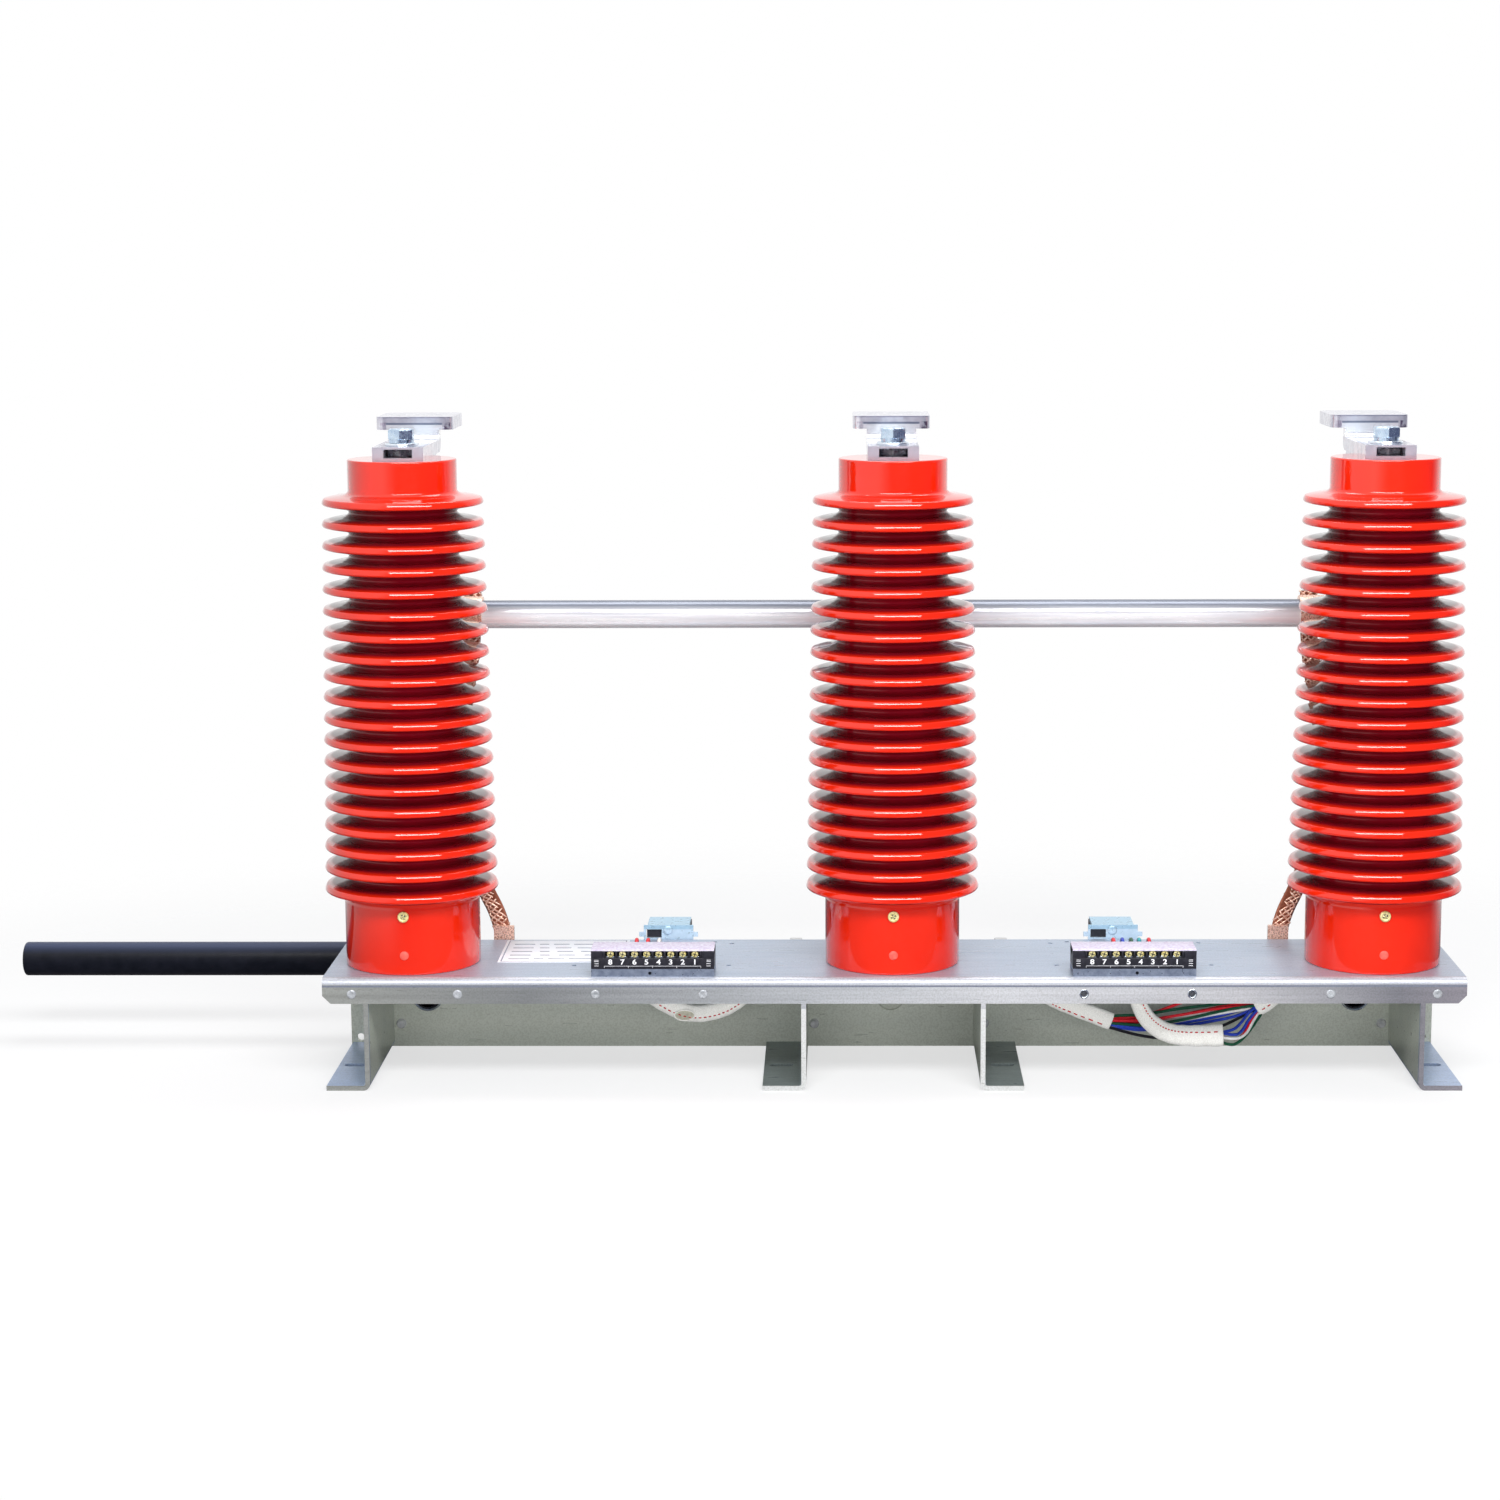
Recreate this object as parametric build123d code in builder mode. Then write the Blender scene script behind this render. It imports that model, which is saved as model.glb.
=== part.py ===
from build123d import *
import math
import os

# Three-pole indoor earthing switch: three ribbed post insulators stand in a row on a folded
# steel channel, and a frame of three knives swings up behind them to earth their contacts.
# Millimetres. +X runs along the row to the right, +Y to the rear, +Z up. The origin is on the
# floor, under the axis of the middle insulator, in the middle of the fixing slots.

os.makedirs("parts", exist_ok=True)

# Row of poles
pole_pitch = 300.0
pole_names = ["left", "middle", "right"]

# Folded channel
end_overhang = 50.0
channel_height = 71.0
front_edge = 49.0
rear_edge = 60.0
sheet = 3.0
lip_height = 16.0
bend_radius = 4.5
corner_chamfer = 5.0
lip_hole_radius = 2.1
lip_hole_drop = 10.0
lip_hole_places = [116.5, 182.5, 267.0, 332.0]
rear_hole_radius = 9.5
rear_hole_drop = 37.5
corner_hole_radius = 2.5
corner_hole_inset = 6.0
rivet_hole_radius = 1.5
rivet_hole_places = [
    (-198.0, -15.0), (-102.0, -15.0), (102.0, -15.0), (198.0, -15.0),
    (-113.0, 49.0), (-102.0, 45.0), (102.0, 45.0), (113.0, 49.0), (197.0, 46.0),
]

# Feet
foot_width = 27.0
foot_end_inset = 1.0
inner_foot_x = 53.5
slot_length = 15.0
slot_width = 7.0
slot_inset = 16.0

# Ribbed insulators
base_radius = 41.8
base_height = 42.0
cap_radius = 33.3
cap_above_top_shed = 25.6
insulator_height = 314.0
core_low_radius = 38.0
core_high_radius = 33.0
shed_count = 19
lowest_shed = 49.0
low_shed_radius = 53.7
high_shed_radius = 49.2
shed_root_half = 4.4
shed_rim_half = 2.4
shed_rim_round = 2.2
shed_root_round = 2.0
edge_round = 0.8
insert_radius = 4.1
insert_depth = 24.0
base_bolt_radius = 6.0
base_washer_radius = 12.0
base_bolt_flats = 18.0

# Fixed contacts on the caps
contact_width = 31.0
contact_plate = 8.0
contact_front = 17.0
upright_y = 58.0
contact_rise = 22.0
contact_bend = 3.0
pad_width = 48.5
pad_rear = 110.0
pad_corner = 5.0
fin_thickness = 10.0
fin_rear = 104.0
fin_drop = 19.0
fin_chamfer = 2.0
nut_flats = 16.8
nut_height = 4.7
contact_bolt_radius = 4.0
bolt_flats = 15.0
bolt_head = 6.4
washer_radius = 10.0
washer_height = 1.6
spring_washer_radius = 7.6
spring_washer_height = 2.2

# Sensor screws on the insulator bases
screw_height = 37.0
screw_radius = 3.4
screw_proud = 2.0
screw_seat = 2.0

# Swinging frame
shaft_y = 84.0
shaft_z = 52.0
shaft_radius = 11.0
drive_length = 217.0
shaft_end_round = 1.5
shaft_right_tail = 5.0
tube_height = 227.0
tube_radius = 9.0
tube_wall = 2.0
tube_overhang = 20.0
hub_radius = 17.0
hub_width = 16.0
arm_foot_width = 30.0
arm_head_width = 25.0
blade_thickness = 3.0
blade_width = 26.0
blade_below_tube = 16.0
blade_corner = 7.0
knife_bolt_above_tube = 57.0
knife_bolt_radius = 4.0
knife_nut_radius = 8.0
knife_nut_height = 7.0

# Bearings of the shaft, with a retaining ring outside each outer one
bearing_from_foot = 4.5
inner_bearing_left = 49.5
inner_bearing_right = 60.5
bearing_names = ["outer_left", "inner_left", "inner_right", "outer_right"]
bearing_web = 8.0
bearing_web_offset = 12.0
bearing_plate_inner = 8.0
bearing_plate_thickness = 4.0
bearing_plate_low = 7.0
bearing_plate_high = 68.0
bearing_ring_radius = 17.0
bearing_gusset_low = 16.0
low_bolt_z = 15.0
high_bolt_z = 58.0
bearing_bolt_radius = 2.0
bolt_dome_radius = 3.3
bolt_dome_height = 2.6
bearing_nut_radius = 3.5
bearing_nut_height = 3.2
ring_groove_depth = 1.0
ring_thickness = 1.5
ring_outer_radius = 14.5
ring_gap = 9.0

# Terminal blocks
block_x = 147.5
block_length = 75.5
block_depth = 22.0
block_height = 12.1
block_front = -44.5
block_step_depth = 6.0
block_step_height = 6.8
block_end = 7.4
terminal_count = 8
terminal_pitch = 7.4
barrier_width = 1.3
barrier_drop = 1.0
riser_height = 4.7
riser_sheet = 1.2
riser_hole_radius = 1.0
riser_hole_offset = 1.7
riser_hole_drop = 2.6
terminal_wire_radius = 1.2
terminal_wire_low = 9.0
terminal_wire_crest = 16.5
terminal_wire_reach = 15.0
left_terminal_wires = [-159.0, -152.0, -145.0]
right_terminal_wires = [137.0, 142.5, 148.0, 153.0, 159.0]

# Auxiliary switches behind the channel
switch_x = 143.5
switch_front_width = 32.0
switch_top_width = 27.0
switch_bracket_sheet = 1.5
switch_bracket_depth = 25.0
switch_bracket_top = 79.5
switch_bracket_low = 40.0
switch_ear = 3.0
switch_ear_low = 72.0
switch_ear_high = 75.0
switch_width = 28.0
switch_height = 8.0
window_width = 10.0
window_height = 5.5
window_edge = 1.5
window_low = 71.3

# Flexible earth braids
lug_from_pole = 50.0
clamp_from_pole = 30.0
braid_width = 13.0
braid_thickness = 3.0
braid_below_lug_top = 20.0
braid_lean_side = 18.0
braid_lean_back = 15.5
braid_lean_rise = 28.0
braid_bow_from_pole = 16.0
braid_bow = 11.0
braid_bow_low = 129.0
braid_bow_high = 79.0
braid_straight = 27.0
braid_above_tube = 13.0
braid_clamp_gap = 0.7
clamp_width = 16.0
clamp_wall = 2.5
lug_low = 40.0
lug_high = 79.0
lug_thickness = 3.0
lug_bolt_z = 50.0
lug_bolt_radius = 3.0
lug_head_radius = 5.5
lug_head_height = 4.0

# Wiring under the plate
sleeve_half_width = 5.6
sleeve_half_depth = 3.4
bundle_radius = 3.2
small_bundle_radius = 2.2
harness_y = 4.0
second_sleeve_y = -14.0

# Clearances
running_gap = 0.05
bolt_gap = 0.15
contact_gap = 0.3
clear_gap = 0.3
bolt_tip_gap = 4.0
blade_tip_gap = 6.0
ring_side_gap = 0.3

# Places that follow from the sizes above
pole_places = [-pole_pitch, 0.0, pole_pitch]
channel_half = pole_pitch + end_overhang
plate_under = channel_height - sheet
skirt_front = rear_edge - sheet
outer_foot_x = channel_half - foot_end_inset - foot_width
outer_bearing_x = outer_foot_x - bearing_from_foot
bearing_places = [-outer_bearing_x, -inner_bearing_left, inner_bearing_right, outer_bearing_x]
ring_inner_x = outer_bearing_x + bearing_web_offset + bearing_web / 2 + ring_side_gap
shed_pitch = (insulator_height - cap_above_top_shed - lowest_shed) / (shed_count - 1)
cap_top = channel_height + insulator_height
foot_top = cap_top + contact_plate
pad_top = cap_top + contact_rise
pad_under = pad_top - contact_plate
arm_thickness = fin_thickness + 2 * contact_gap
tube_z = shaft_z + tube_height
knife_bolt_z = tube_z + knife_bolt_above_tube
blade_top = pad_under - blade_tip_gap
blade_low = tube_z - blade_below_tube
block_foot = channel_height + riser_height
lug_x = pole_pitch - lug_from_pole
clamp_x = pole_pitch - clamp_from_pole


def finish(part, name):
    """Labels a finished piece and writes it to its own file."""
    part.label = name
    export_step(part, f"parts/{name}.step")


# Channel: a top plate with a short lip in front and a deep skirt behind, folded from one sheet
with BuildPart() as base_channel:
    with BuildSketch(Plane.YZ.offset(-channel_half)):
        with BuildLine():
            Polyline(
                (-front_edge, channel_height - lip_height),
                (-front_edge, channel_height),
                (rear_edge, channel_height),
                (rear_edge, 0),
                (skirt_front, 0),
                (skirt_front, plate_under),
                (-front_edge + sheet, plate_under),
                (-front_edge + sheet, channel_height - lip_height),
                close=True,
            )
        make_face()
    extrude(amount=2 * channel_half)
    long_edges = base_channel.edges().filter_by(Axis.X)
    fillet(long_edges.group_by(Axis.Z)[-1], bend_radius)
    inner_edges = base_channel.edges().filter_by(Axis.X).filter_by_position(
        Axis.Z, plate_under - 0.01, plate_under + 0.01
    )
    fillet(inner_edges, bend_radius - sheet)
    lip_low = channel_height - lip_height
    lip_corners = base_channel.edges().filter_by(Axis.Y).filter_by_position(
        Axis.Z, lip_low - 0.01, lip_low + 0.01
    )
    chamfer(lip_corners, corner_chamfer)
    with BuildSketch(Plane.XZ.offset(front_edge)):
        for place in lip_hole_places:
            with Locations((-place, channel_height - lip_hole_drop), (place, channel_height - lip_hole_drop)):
                Circle(lip_hole_radius)
    extrude(amount=-sheet, mode=Mode.SUBTRACT)
    with BuildSketch(Plane.XZ.offset(-skirt_front)):
        with Locations(*[(x, channel_height - rear_hole_drop) for x in pole_places]):
            Circle(rear_hole_radius)
        for side in (-1, 1):
            with Locations((side * (channel_half - corner_hole_inset), corner_hole_inset)):
                Circle(corner_hole_radius)
        for place in bearing_places:
            with Locations((place, low_bolt_z), (place, high_bolt_z)):
                Circle(bearing_bolt_radius + bolt_gap)
        with Locations((-lug_x, lug_bolt_z), (lug_x, lug_bolt_z)):
            Circle(lug_bolt_radius + bolt_gap)
    extrude(amount=-sheet, mode=Mode.SUBTRACT)
    with BuildSketch(Plane.XY.offset(plate_under)):
        with Locations(*[(x, 0) for x in pole_places]):
            Circle(base_bolt_radius + bolt_gap)
        with Locations(*rivet_hole_places):
            Circle(rivet_hole_radius)
    extrude(amount=sheet, mode=Mode.SUBTRACT)
finish(base_channel.part, "base_channel")


def make_foot(web_x, side):
    """An L-shaped foot under the plate: an upright web and a slotted flange that points away."""
    with BuildPart() as foot:
        with BuildSketch(Plane.YZ.offset(side * web_x)):
            with BuildLine():
                Polyline(
                    (-front_edge, 0),
                    (skirt_front, 0),
                    (skirt_front, plate_under - bend_radius),
                    (skirt_front - bend_radius, plate_under),
                    (-front_edge + sheet + bend_radius, plate_under),
                    (-front_edge + sheet, plate_under - bend_radius),
                    (-front_edge + sheet, channel_height - lip_height),
                    (-front_edge, channel_height - lip_height),
                    close=True,
                )
            make_face()
        extrude(amount=side * sheet)
        with BuildSketch(Plane.XY):
            with Locations((side * (web_x + foot_width / 2), (skirt_front - front_edge) / 2)):
                Rectangle(foot_width, skirt_front + front_edge)
        extrude(amount=sheet)
        heel = foot.edges().filter_by(Axis.Y).filter_by_position(Axis.Z, -0.01, 0.01)
        fillet(heel.sort_by(Axis.X)[0 if side > 0 else -1], bend_radius)
        inner_bend = foot.edges().filter_by(Axis.Y).filter_by_position(Axis.Z, sheet - 0.01, sheet + 0.01)
        fillet(inner_bend.sort_by(Axis.X)[0 if side > 0 else -1], bend_radius - sheet)
        with BuildSketch(Plane.XY):
            with Locations((side * (web_x + slot_inset), 0)):
                SlotOverall(slot_length, slot_width)
        extrude(amount=sheet, mode=Mode.SUBTRACT)
    return foot.part


finish(make_foot(outer_foot_x, -1), "foot_outer_left")
finish(make_foot(inner_foot_x, -1), "foot_inner_left")
finish(make_foot(inner_foot_x, 1), "foot_inner_right")
finish(make_foot(outer_foot_x, 1), "foot_outer_right")


def shed_sizes(i):
    """Height, rim radius and core radius of a shed, counted from the lowest one."""
    share = i / (shed_count - 1)
    rim = low_shed_radius + (high_shed_radius - low_shed_radius) * share
    core = core_low_radius + (core_high_radius - core_low_radius) * share
    return lowest_shed + i * shed_pitch, rim, core


def draw_insulator_outline():
    """Draws half the outline of a ribbed insulator: base, sheds with round rims and roots, cap."""
    Line((0, 0), (base_radius, 0))
    Line((base_radius, 0), (base_radius, base_height))
    below = (base_radius, base_height)
    for i in range(shed_count):
        z, rim, core = shed_sizes(i)
        root_low = (core + shed_root_round, z - shed_root_half)
        root_high = (core + shed_root_round, z + shed_root_half)
        rim_low = (rim - shed_rim_round, z - shed_rim_half)
        rim_high = (rim - shed_rim_round, z + shed_rim_half)
        if i == 0:
            Line(below, root_low)
        else:
            ThreePointArc(below, (core, z - shed_pitch / 2), root_low)
        Line(root_low, rim_low)
        ThreePointArc(rim_low, (rim, z), rim_high)
        Line(rim_high, root_high)
        below = root_high
    cap_start = (cap_radius, below[1] + shed_root_round)
    Line(below, cap_start)
    Line(cap_start, (cap_radius, insulator_height))
    Line((cap_radius, insulator_height), (0, insulator_height))
    Line((0, insulator_height), (0, 0))


def make_insulator(pole_x):
    """A cast insulator with its sheds, and with the screw holes of its top and bottom inserts."""
    with BuildPart() as insulator:
        foot_plane = Plane(origin=(pole_x, 0, channel_height), x_dir=(1, 0, 0), z_dir=(0, -1, 0))
        with BuildSketch(foot_plane):
            with BuildLine():
                draw_insulator_outline()
            make_face()
        revolve(axis=Axis((pole_x, 0, 0), (0, 0, 1)))
        rims = insulator.edges().filter_by(GeomType.CIRCLE)
        fillet(rims.sort_by(Axis.Z)[-1], edge_round)
        with BuildSketch(Plane.XY.offset(cap_top)):
            with Locations((pole_x, 0)):
                Circle(insert_radius)
        extrude(amount=-insert_depth, mode=Mode.SUBTRACT)
        with BuildSketch(Plane.XY.offset(channel_height)):
            with Locations((pole_x, 0)):
                Circle(base_bolt_radius + bolt_gap)
        extrude(amount=insert_depth, mode=Mode.SUBTRACT)
        screw_plane = Plane(origin=(pole_x, -base_radius, channel_height + screw_height), z_dir=(0, 1, 0))
        with BuildSketch(screw_plane):
            Circle(screw_radius + bolt_gap)
        extrude(amount=screw_seat, mode=Mode.SUBTRACT)
    return insulator.part


for name, x in zip(pole_names, pole_places):
    finish(make_insulator(x), f"insulator_{name}")


def make_contact(pole_x):
    """A fixed contact bent from bar: foot on the cap, upright behind, and a wide pad on top.
    The fin under the pad is what the knife's two blades grip."""
    with BuildPart() as contact:
        with BuildSketch(Plane.YZ.offset(pole_x - contact_width / 2)):
            with BuildLine():
                Polyline(
                    (-contact_front, cap_top),
                    (upright_y + contact_plate, cap_top),
                    (upright_y + contact_plate, pad_top),
                    (upright_y, pad_top),
                    (upright_y, foot_top),
                    (-contact_front, foot_top),
                    close=True,
                )
            make_face()
        extrude(amount=contact_width)
        across = contact.edges().filter_by(Axis.X)
        inside = across.filter_by_position(Axis.Z, foot_top - 0.01, foot_top + 0.01).sort_by(Axis.Y)[-1]
        fillet(inside, contact_bend)
        across = contact.edges().filter_by(Axis.X)
        outside = across.filter_by_position(Axis.Z, cap_top - 0.01, cap_top + 0.01).sort_by(Axis.Y)[-1]
        fillet(outside, contact_bend + contact_plate / 2)
        with BuildSketch(Plane.XY.offset(pad_under)):
            with Locations((pole_x, (upright_y + pad_rear) / 2)):
                RectangleRounded(pad_width, pad_rear - upright_y, pad_corner)
        extrude(amount=contact_plate)
        with BuildSketch(Plane.YZ.offset(pole_x - fin_thickness / 2)) as fin:
            with Locations(((upright_y + contact_plate + fin_rear) / 2, pad_under - fin_drop / 2)):
                Rectangle(fin_rear - upright_y - contact_plate, fin_drop)
            low_corners = fin.vertices().group_by(Axis.Z)[0]
            chamfer(low_corners.sort_by(Axis.Y)[-1], fin_chamfer)
        extrude(amount=fin_thickness)
        with BuildSketch(Plane.XY.offset(cap_top)):
            with Locations((pole_x, 0)):
                Circle(contact_bolt_radius + bolt_gap)
        extrude(amount=contact_plate, mode=Mode.SUBTRACT)
        pocket_depth = contact_front + nut_flats / math.sqrt(3) + clear_gap
        with BuildSketch(Plane.XZ.offset(contact_front)):
            with Locations((pole_x, cap_top + contact_plate / 2)):
                Rectangle(nut_flats + 2 * clear_gap, nut_height + 2 * clear_gap)
        extrude(amount=-pocket_depth, mode=Mode.SUBTRACT)
    return contact.part


for name, x in zip(pole_names, pole_places):
    finish(make_contact(x), f"fixed_contact_{name}")

# Hexagon bolts with their washers, down through each contact's foot and into the insulator
with BuildPart() as contact_bolts:
    with BuildSketch(Plane.XY.offset(foot_top)):
        with Locations(*[(x, 0) for x in pole_places]):
            Circle(washer_radius)
    extrude(amount=washer_height)
    with BuildSketch(Plane.XY.offset(foot_top + washer_height)):
        with Locations(*[(x, 0) for x in pole_places]):
            Circle(spring_washer_radius)
    extrude(amount=spring_washer_height)
    with BuildSketch(Plane.XY.offset(foot_top + washer_height + spring_washer_height)):
        with Locations(*[(x, 0) for x in pole_places]):
            RegularPolygon(bolt_flats / 2, 6, major_radius=False, rotation=30)
    extrude(amount=bolt_head)
    with BuildSketch(Plane.XY.offset(foot_top)):
        with Locations(*[(x, 0) for x in pole_places]):
            Circle(contact_bolt_radius)
    extrude(amount=-contact_plate - insert_depth + bolt_tip_gap)
finish(contact_bolts.part, "contact_bolts")

with BuildPart() as contact_nuts:
    with BuildSketch(Plane.XY.offset(cap_top + (contact_plate - nut_height) / 2 - clear_gap)):
        with Locations(*[(x, 0) for x in pole_places]):
            RegularPolygon(nut_flats / 2, 6, major_radius=False, rotation=30)
            Circle(contact_bolt_radius + running_gap, mode=Mode.SUBTRACT)
    extrude(amount=nut_height)
finish(contact_nuts.part, "contact_nuts")

with BuildPart() as base_bolts:
    with BuildSketch(Plane.XY.offset(plate_under)):
        with Locations(*[(x, 0) for x in pole_places]):
            Circle(base_washer_radius)
    extrude(amount=-washer_height)
    with BuildSketch(Plane.XY.offset(plate_under - washer_height)):
        with Locations(*[(x, 0) for x in pole_places]):
            RegularPolygon(base_bolt_flats / 2, 6, major_radius=False)
    extrude(amount=-bolt_head)
    with BuildSketch(Plane.XY.offset(plate_under)):
        with Locations(*[(x, 0) for x in pole_places]):
            Circle(base_bolt_radius)
    extrude(amount=sheet + insert_depth - bolt_tip_gap)
finish(base_bolts.part, "base_bolts")

with BuildPart() as sensor_screws:
    for x in pole_places:
        screw_plane = Plane(
            origin=(x, -base_radius + screw_seat, channel_height + screw_height), z_dir=(0, -1, 0)
        )
        with BuildSketch(screw_plane):
            Circle(screw_radius)
        extrude(amount=screw_proud + screw_seat)
    front_rims = sensor_screws.edges().filter_by(GeomType.CIRCLE).group_by(Axis.Y)[0]
    chamfer(front_rims, screw_proud / 4)
finish(sensor_screws.part, "sensor_screws")


def make_bearing(place):
    """A bearing bracket on the back of the skirt: a bolted plate, and a web with a bored ring
    on the plate's outer side."""
    side = math.copysign(1, place)
    web_x = place + side * bearing_web_offset
    plate_inner = place - side * bearing_plate_inner
    plate_outer = web_x + side * bearing_web / 2
    plate_rear = rear_edge + bearing_plate_thickness
    with BuildPart() as bearing:
        with BuildSketch(Plane.XZ.offset(-rear_edge)):
            with Locations(((plate_inner + plate_outer) / 2, (bearing_plate_low + bearing_plate_high) / 2)):
                Rectangle(abs(plate_outer - plate_inner), bearing_plate_high - bearing_plate_low)
            with Locations((place, low_bolt_z), (place, high_bolt_z)):
                Circle(bearing_bolt_radius + bolt_gap, mode=Mode.SUBTRACT)
        extrude(amount=-bearing_plate_thickness)
        with BuildSketch(Plane.YZ.offset(web_x - bearing_web / 2)):
            with BuildLine():
                Polyline(
                    (plate_rear, bearing_gusset_low),
                    (shaft_y + bearing_ring_radius / 2, shaft_z - bearing_ring_radius / 2),
                    (shaft_y, bearing_plate_high),
                    (plate_rear, bearing_plate_high),
                    close=True,
                )
            make_face()
            with Locations((shaft_y, shaft_z)):
                Circle(bearing_ring_radius)
            with Locations((shaft_y, shaft_z)):
                Circle(shaft_radius + running_gap, mode=Mode.SUBTRACT)
        extrude(amount=bearing_web)
    return bearing.part


for name, place in zip(bearing_names, bearing_places):
    finish(make_bearing(place), f"bearing_{name}")

with BuildPart() as bearing_bolts:
    for place in bearing_places:
        for z in (low_bolt_z, high_bolt_z):
            with BuildSketch(Plane(origin=(place, skirt_front, z), z_dir=(0, -1, 0))):
                Circle(bolt_dome_radius)
            extrude(amount=bolt_dome_height, taper=20)
            with BuildSketch(Plane(origin=(place, skirt_front, z), z_dir=(0, 1, 0))):
                Circle(bearing_bolt_radius)
            extrude(amount=sheet + bearing_plate_thickness + bearing_nut_height)
            nut_plane = Plane(origin=(place, rear_edge + bearing_plate_thickness, z), z_dir=(0, 1, 0))
            with BuildSketch(nut_plane):
                RegularPolygon(bearing_nut_radius, 6, major_radius=False)
            extrude(amount=bearing_nut_height)
finish(bearing_bolts.part, "bearing_bolts")

# Swinging frame: shaft, three arms, the tube that joins them, and a pair of blades on each arm
with BuildPart() as shaft:
    shaft_left_end = channel_half + drive_length
    shaft_right_end = ring_inner_x + ring_thickness + shaft_right_tail
    with BuildSketch(Plane.YZ.offset(-shaft_left_end)):
        with Locations((shaft_y, shaft_z)):
            Circle(shaft_radius)
    extrude(amount=shaft_left_end + shaft_right_end)
    fillet(shaft.edges().filter_by(GeomType.CIRCLE), shaft_end_round)
    for groove_x in (-ring_inner_x - ring_thickness, ring_inner_x):
        with BuildSketch(Plane.YZ.offset(groove_x)):
            with Locations((shaft_y, shaft_z)):
                Circle(shaft_radius)
                Circle(shaft_radius - ring_groove_depth, mode=Mode.SUBTRACT)
        extrude(amount=ring_thickness, mode=Mode.SUBTRACT)
finish(shaft.part, "shaft")

with BuildPart() as retaining_rings:
    for ring_x in (-ring_inner_x - ring_thickness, ring_inner_x):
        with BuildSketch(Plane.YZ.offset(ring_x + running_gap)):
            with Locations((shaft_y, shaft_z)):
                Circle(ring_outer_radius)
                Circle(shaft_radius - ring_groove_depth + running_gap, mode=Mode.SUBTRACT)
            with Locations((shaft_y + ring_outer_radius, shaft_z)):
                Rectangle(ring_outer_radius, ring_gap, mode=Mode.SUBTRACT)
        extrude(amount=ring_thickness - 2 * running_gap)
finish(retaining_rings.part, "retaining_rings")


def make_arm(pole_x):
    """A steel arm that tapers from a hub on the shaft to an eye for the tube."""
    with BuildPart() as arm:
        with BuildSketch(Plane.YZ.offset(pole_x - hub_width / 2)):
            with Locations((shaft_y, shaft_z)):
                Circle(hub_radius)
        extrude(amount=hub_width)
        with BuildSketch(Plane.YZ.offset(pole_x - arm_thickness / 2)):
            with BuildLine():
                Polyline(
                    (shaft_y - arm_foot_width / 2, shaft_z),
                    (shaft_y - arm_head_width / 2, tube_z),
                    (shaft_y + arm_head_width / 2, tube_z),
                    (shaft_y + arm_foot_width / 2, shaft_z),
                    close=True,
                )
            make_face()
            with Locations((shaft_y, tube_z)):
                Circle(arm_head_width / 2)
        extrude(amount=arm_thickness)
        with BuildSketch(Plane.YZ.offset(pole_x - hub_width / 2)):
            with Locations((shaft_y, shaft_z)):
                Circle(shaft_radius + running_gap)
            with Locations((shaft_y, tube_z)):
                Circle(tube_radius + running_gap)
        extrude(amount=hub_width, mode=Mode.SUBTRACT)
    return arm.part


for name, x in zip(pole_names, pole_places):
    finish(make_arm(x), f"arm_{name}")

with BuildPart() as short_circuit_tube:
    tube_half_length = pole_pitch + tube_overhang
    with BuildSketch(Plane.YZ.offset(-tube_half_length)):
        with Locations((shaft_y, tube_z)):
            Circle(tube_radius)
            Circle(tube_radius - tube_wall, mode=Mode.SUBTRACT)
    extrude(amount=2 * tube_half_length)
finish(short_circuit_tube.part, "short_circuit_tube")


def make_blades(pole_x):
    """Two flat contact blades, one on each side of the arm, reaching up to the fixed contact."""
    with BuildPart() as blades:
        for side in (-1, 1):
            inner = pole_x + side * arm_thickness / 2
            with BuildSketch(Plane.YZ.offset(inner)) as outline:
                with Locations((shaft_y, (blade_low + blade_top) / 2)):
                    Rectangle(blade_width, blade_top - blade_low)
                chamfer(outline.vertices(), blade_corner)
                with Locations((shaft_y, tube_z)):
                    Circle(tube_radius + running_gap, mode=Mode.SUBTRACT)
                with Locations((shaft_y, knife_bolt_z)):
                    Circle(knife_bolt_radius + running_gap, mode=Mode.SUBTRACT)
            extrude(amount=side * blade_thickness)
    return blades.part


for name, x in zip(pole_names, pole_places):
    finish(make_blades(x), f"blades_{name}")

with BuildPart() as blade_bolts:
    for x in pole_places:
        reach = arm_thickness / 2 + blade_thickness
        with BuildSketch(Plane.YZ.offset(x - reach - knife_nut_height)):
            with Locations((shaft_y, knife_bolt_z)):
                Circle(knife_bolt_radius)
        extrude(amount=2 * (reach + knife_nut_height))
        with BuildSketch(Plane.YZ.offset(x - arm_thickness / 2)):
            with Locations((shaft_y, knife_bolt_z)):
                Circle(knife_nut_radius)
        extrude(amount=arm_thickness)
        for side in (-1, 1):
            with BuildSketch(Plane.YZ.offset(x + side * reach)):
                with Locations((shaft_y, knife_bolt_z)):
                    RegularPolygon(knife_nut_radius, 6, major_radius=False)
            extrude(amount=side * knife_nut_height)
finish(blade_bolts.part, "blade_bolts")

with BuildPart() as braid_clamps:
    for side in (-1, 1):
        with BuildSketch(Plane.YZ.offset(side * clamp_x - clamp_width / 2)):
            with Locations((shaft_y, tube_z)):
                Circle(tube_radius + clamp_wall)
                Circle(tube_radius + running_gap, mode=Mode.SUBTRACT)
        extrude(amount=clamp_width)
finish(braid_clamps.part, "braid_clamps")

# Earth lugs behind the skirt, where the braids end
with BuildPart() as earth_lugs:
    for side in (-1, 1):
        with BuildSketch(Plane.XZ.offset(-rear_edge)):
            with Locations((side * lug_x, (lug_low + lug_high) / 2)):
                Rectangle(braid_width, lug_high - lug_low)
            with Locations((side * lug_x, lug_bolt_z)):
                Circle(lug_bolt_radius + bolt_gap, mode=Mode.SUBTRACT)
        extrude(amount=-lug_thickness)
finish(earth_lugs.part, "earth_lugs")

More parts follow.
